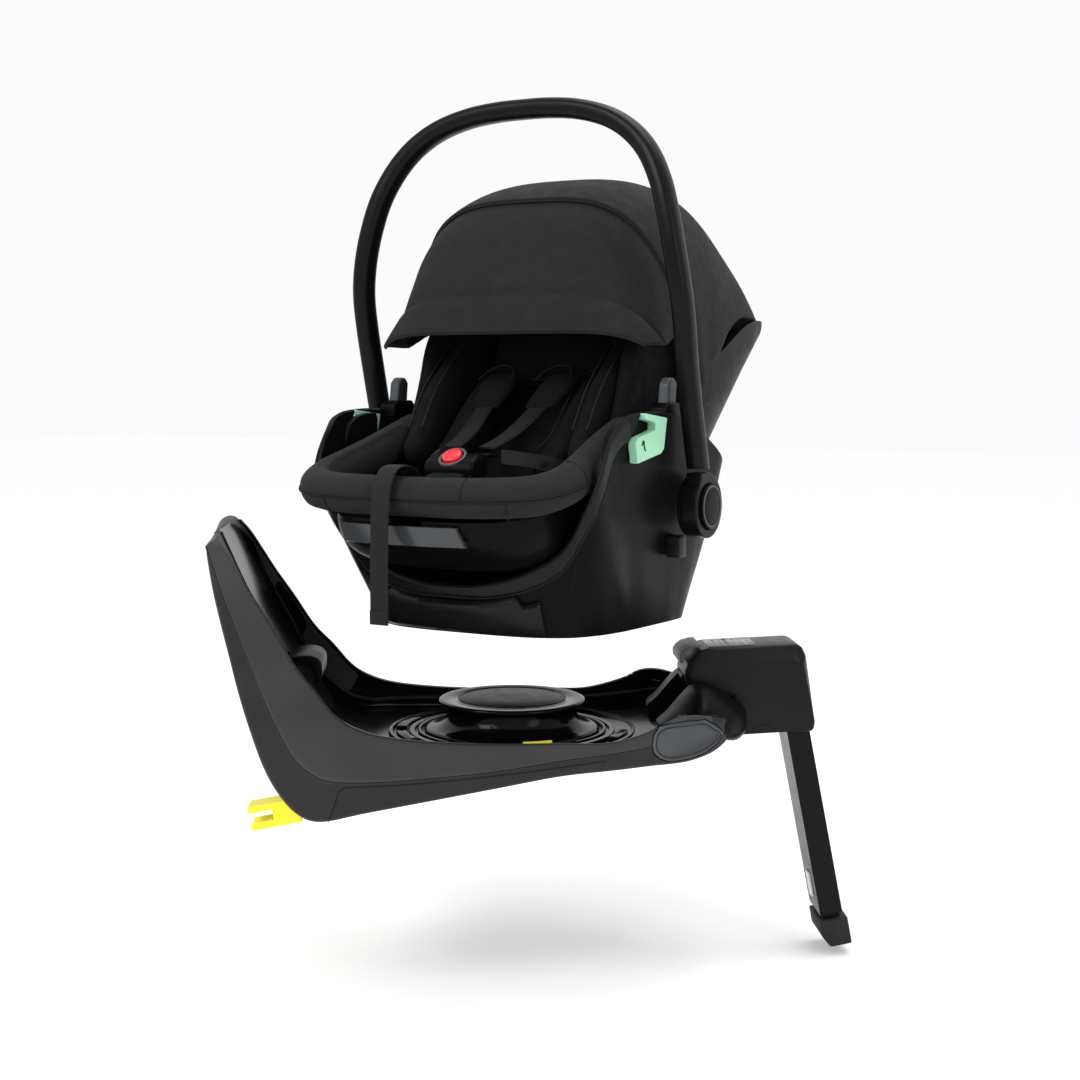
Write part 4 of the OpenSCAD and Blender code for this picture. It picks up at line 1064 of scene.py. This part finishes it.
PANEL = BASE @ move(238.5, 0, 62.7) @ turn("Y", -2.7)
prism("panel_cover", [(0, -30.5), (59, -30.5), (59, 30.5), (0, 30.5)], 0, 3.0, PANEL, "base", "panel",
      replaces=["control_panel"], bevel=1.2, axis="z")


def mark(name, outline, finish="white", rise=0.35):
    prism(name, outline, 2.8, 3.0 + rise, PANEL, "base", finish, bevel=0, axis="z")


def dot(x, y, r, n=20):
    return [(x + r * math.cos(2 * math.pi * k / n), y + r * math.sin(2 * math.pi * k / n)) for k in range(n)]


def bar(x0, y0, x1, y1):
    return [(x0, y0), (x1, y0), (x1, y1), (x0, y1)]


mark("panel_divider", bar(47, -27, 47.8, 27), "white", 0.2)
for n, y in enumerate((-21, -7, 7, 21)):
    mark(f"panel_light_{n}", dot(12, y, 1.7), "green")
    mark(f"panel_ring_{n}", bar(19, y - 3, 19.6, y + 3), "dark_grey")
    mark(f"panel_arrow_{n}", [(24, y - 2.4), (28.5, y), (24, y + 2.4), (25.4, y)], "dark_grey")
    mark(f"panel_pip_{n}", dot(37, y, 1.2))
prism("latch_block", [(212, 14), (207, 26), (213, 34), (226, 36), (232, 20), (228, 8)], -16, 16, BASE,
      "base", "matte_black", bevel=2.5, axis="y", limit=20)
prism("release_lip_cover", [(203, 46.5), (202.6, 55), (206, 60.5), (212, 65), (222, 68), (229, 68.6),
                            (229, 66.2), (222, 65), (213, 61), (208.5, 55), (208, 47)], -34, 34, BASE,
                            "release_lip", "dark_grey", replaces=["release_lip"], bevel=1.4, axis="y",
                            limit=50)
for tag, side in (("left", -1), ("right", 1)):
    loft(f"button_cap_{tag}", [button_ring(0, -5, side), button_ring(0, 0.4, side)], BASE,
         f"swivel_button_{tag}", "dark_grey", replaces=[f"swivel_button_{tag}"], sharp=35,
         mods=[("BEVEL", {"width": 0.0012, "segments": 3, "limit_method": "ANGLE",
                          "angle_limit": math.radians(32)})])
    tube(f"button_oval_{tag}", button_ring(-4.5, 0.5, side), 0.6, BASE, f"swivel_button_{tag}", "piping",
         loop=True, count=80)

# Support leg
dress("leg_outer_tube", "soft_black", 4.5, 5)
dress("leg_inner_tube", "matte_black", 2.0)
dress("leg_hinge_pin", "steel", 0.6)
dress("leg_button", "white", 1.2)
FOOT_LOW = -286
foot = prism("foot_cover", [(-16, FOOT_LOW + 35), (-16, FOOT_LOW + 14), (-8, FOOT_LOW), (19, FOOT_LOW),
                            (19, FOOT_LOW + 35)], -33.8, 33.8, ON_LEG, "leg_lower", "rubber",
                            replaces=["leg_foot"], bevel=2.2, axis="y", limit=25)
for k in range(5):
    cut(foot, cutter([(-40, FOOT_LOW - 1), (-40, FOOT_LOW + 1.6), (40, FOOT_LOW + 1.6), (40, FOOT_LOW - 1)],
                     -26 + 12 * k, -22 + 12 * k, ON_LEG, axis="y"))
for tag in ("left", "right"):
    dress(f"anchor_guide_{tag}", "yellow", 1.8, 4)
    dress(f"anchor_hook_{tag}", "steel", 0.8)
    dress(f"anchor_arm_{tag}", "steel", 0.8)

# ---------------------------------------------------------------- floor and light
floor_mesh = bpy.data.meshes.new("floor")
size = 14.0
floor_mesh.from_pydata([(-size, -size, FLOOR_Z), (size, -size, FLOOR_Z), (size, size, FLOOR_Z),
                        (-size, size, FLOOR_Z)], [], [(0, 1, 2, 3)])
floor = bpy.data.objects.new("floor", floor_mesh)
bpy.context.scene.collection.objects.link(floor)
floor.data.materials.append(shader("pale_floor", (0.93, 0.93, 0.93), 0.7, spec=0.2, mottle=0.01, bump=0.01))
for node in floor.data.materials[0].node_tree.nodes:
    if node.type == "BSDF_PRINCIPLED":
        node.inputs["Emission Color"].default_value = (1, 1, 1, 1)
        node.inputs["Emission Strength"].default_value = 0.08

world = bpy.data.worlds.new("studio")
world.use_nodes = True
world.node_tree.nodes["Background"].inputs["Color"].default_value = (0.97, 0.97, 0.975, 1)
world.node_tree.nodes["Background"].inputs["Strength"].default_value = 1.0
bpy.context.scene.world = world
bpy.context.scene.view_settings.view_transform = "Standard"


def area(name, place, target, size_m, watts):
    data = bpy.data.lights.new(name, "AREA")
    data.shape, data.size, data.size_y, data.energy = "RECTANGLE", *size_m, watts
    light = bpy.data.objects.new(name, data)
    bpy.context.scene.collection.objects.link(light)
    light.location = place
    light.rotation_euler = (Vector(target) - Vector(place)).to_track_quat("-Z", "Y").to_euler()


area("key", (-0.9, -2.6, 2.4), (0, 0, 0.3), (1.6, 1.2), 55)
area("fill", (2.6, -0.9, 1.2), (0, 0, 0.2), (0.9, 1.8), 14)
area("top", (0.2, 0.6, 2.8), (0, 0.1, 0.3), (1.8, 1.8), 40)
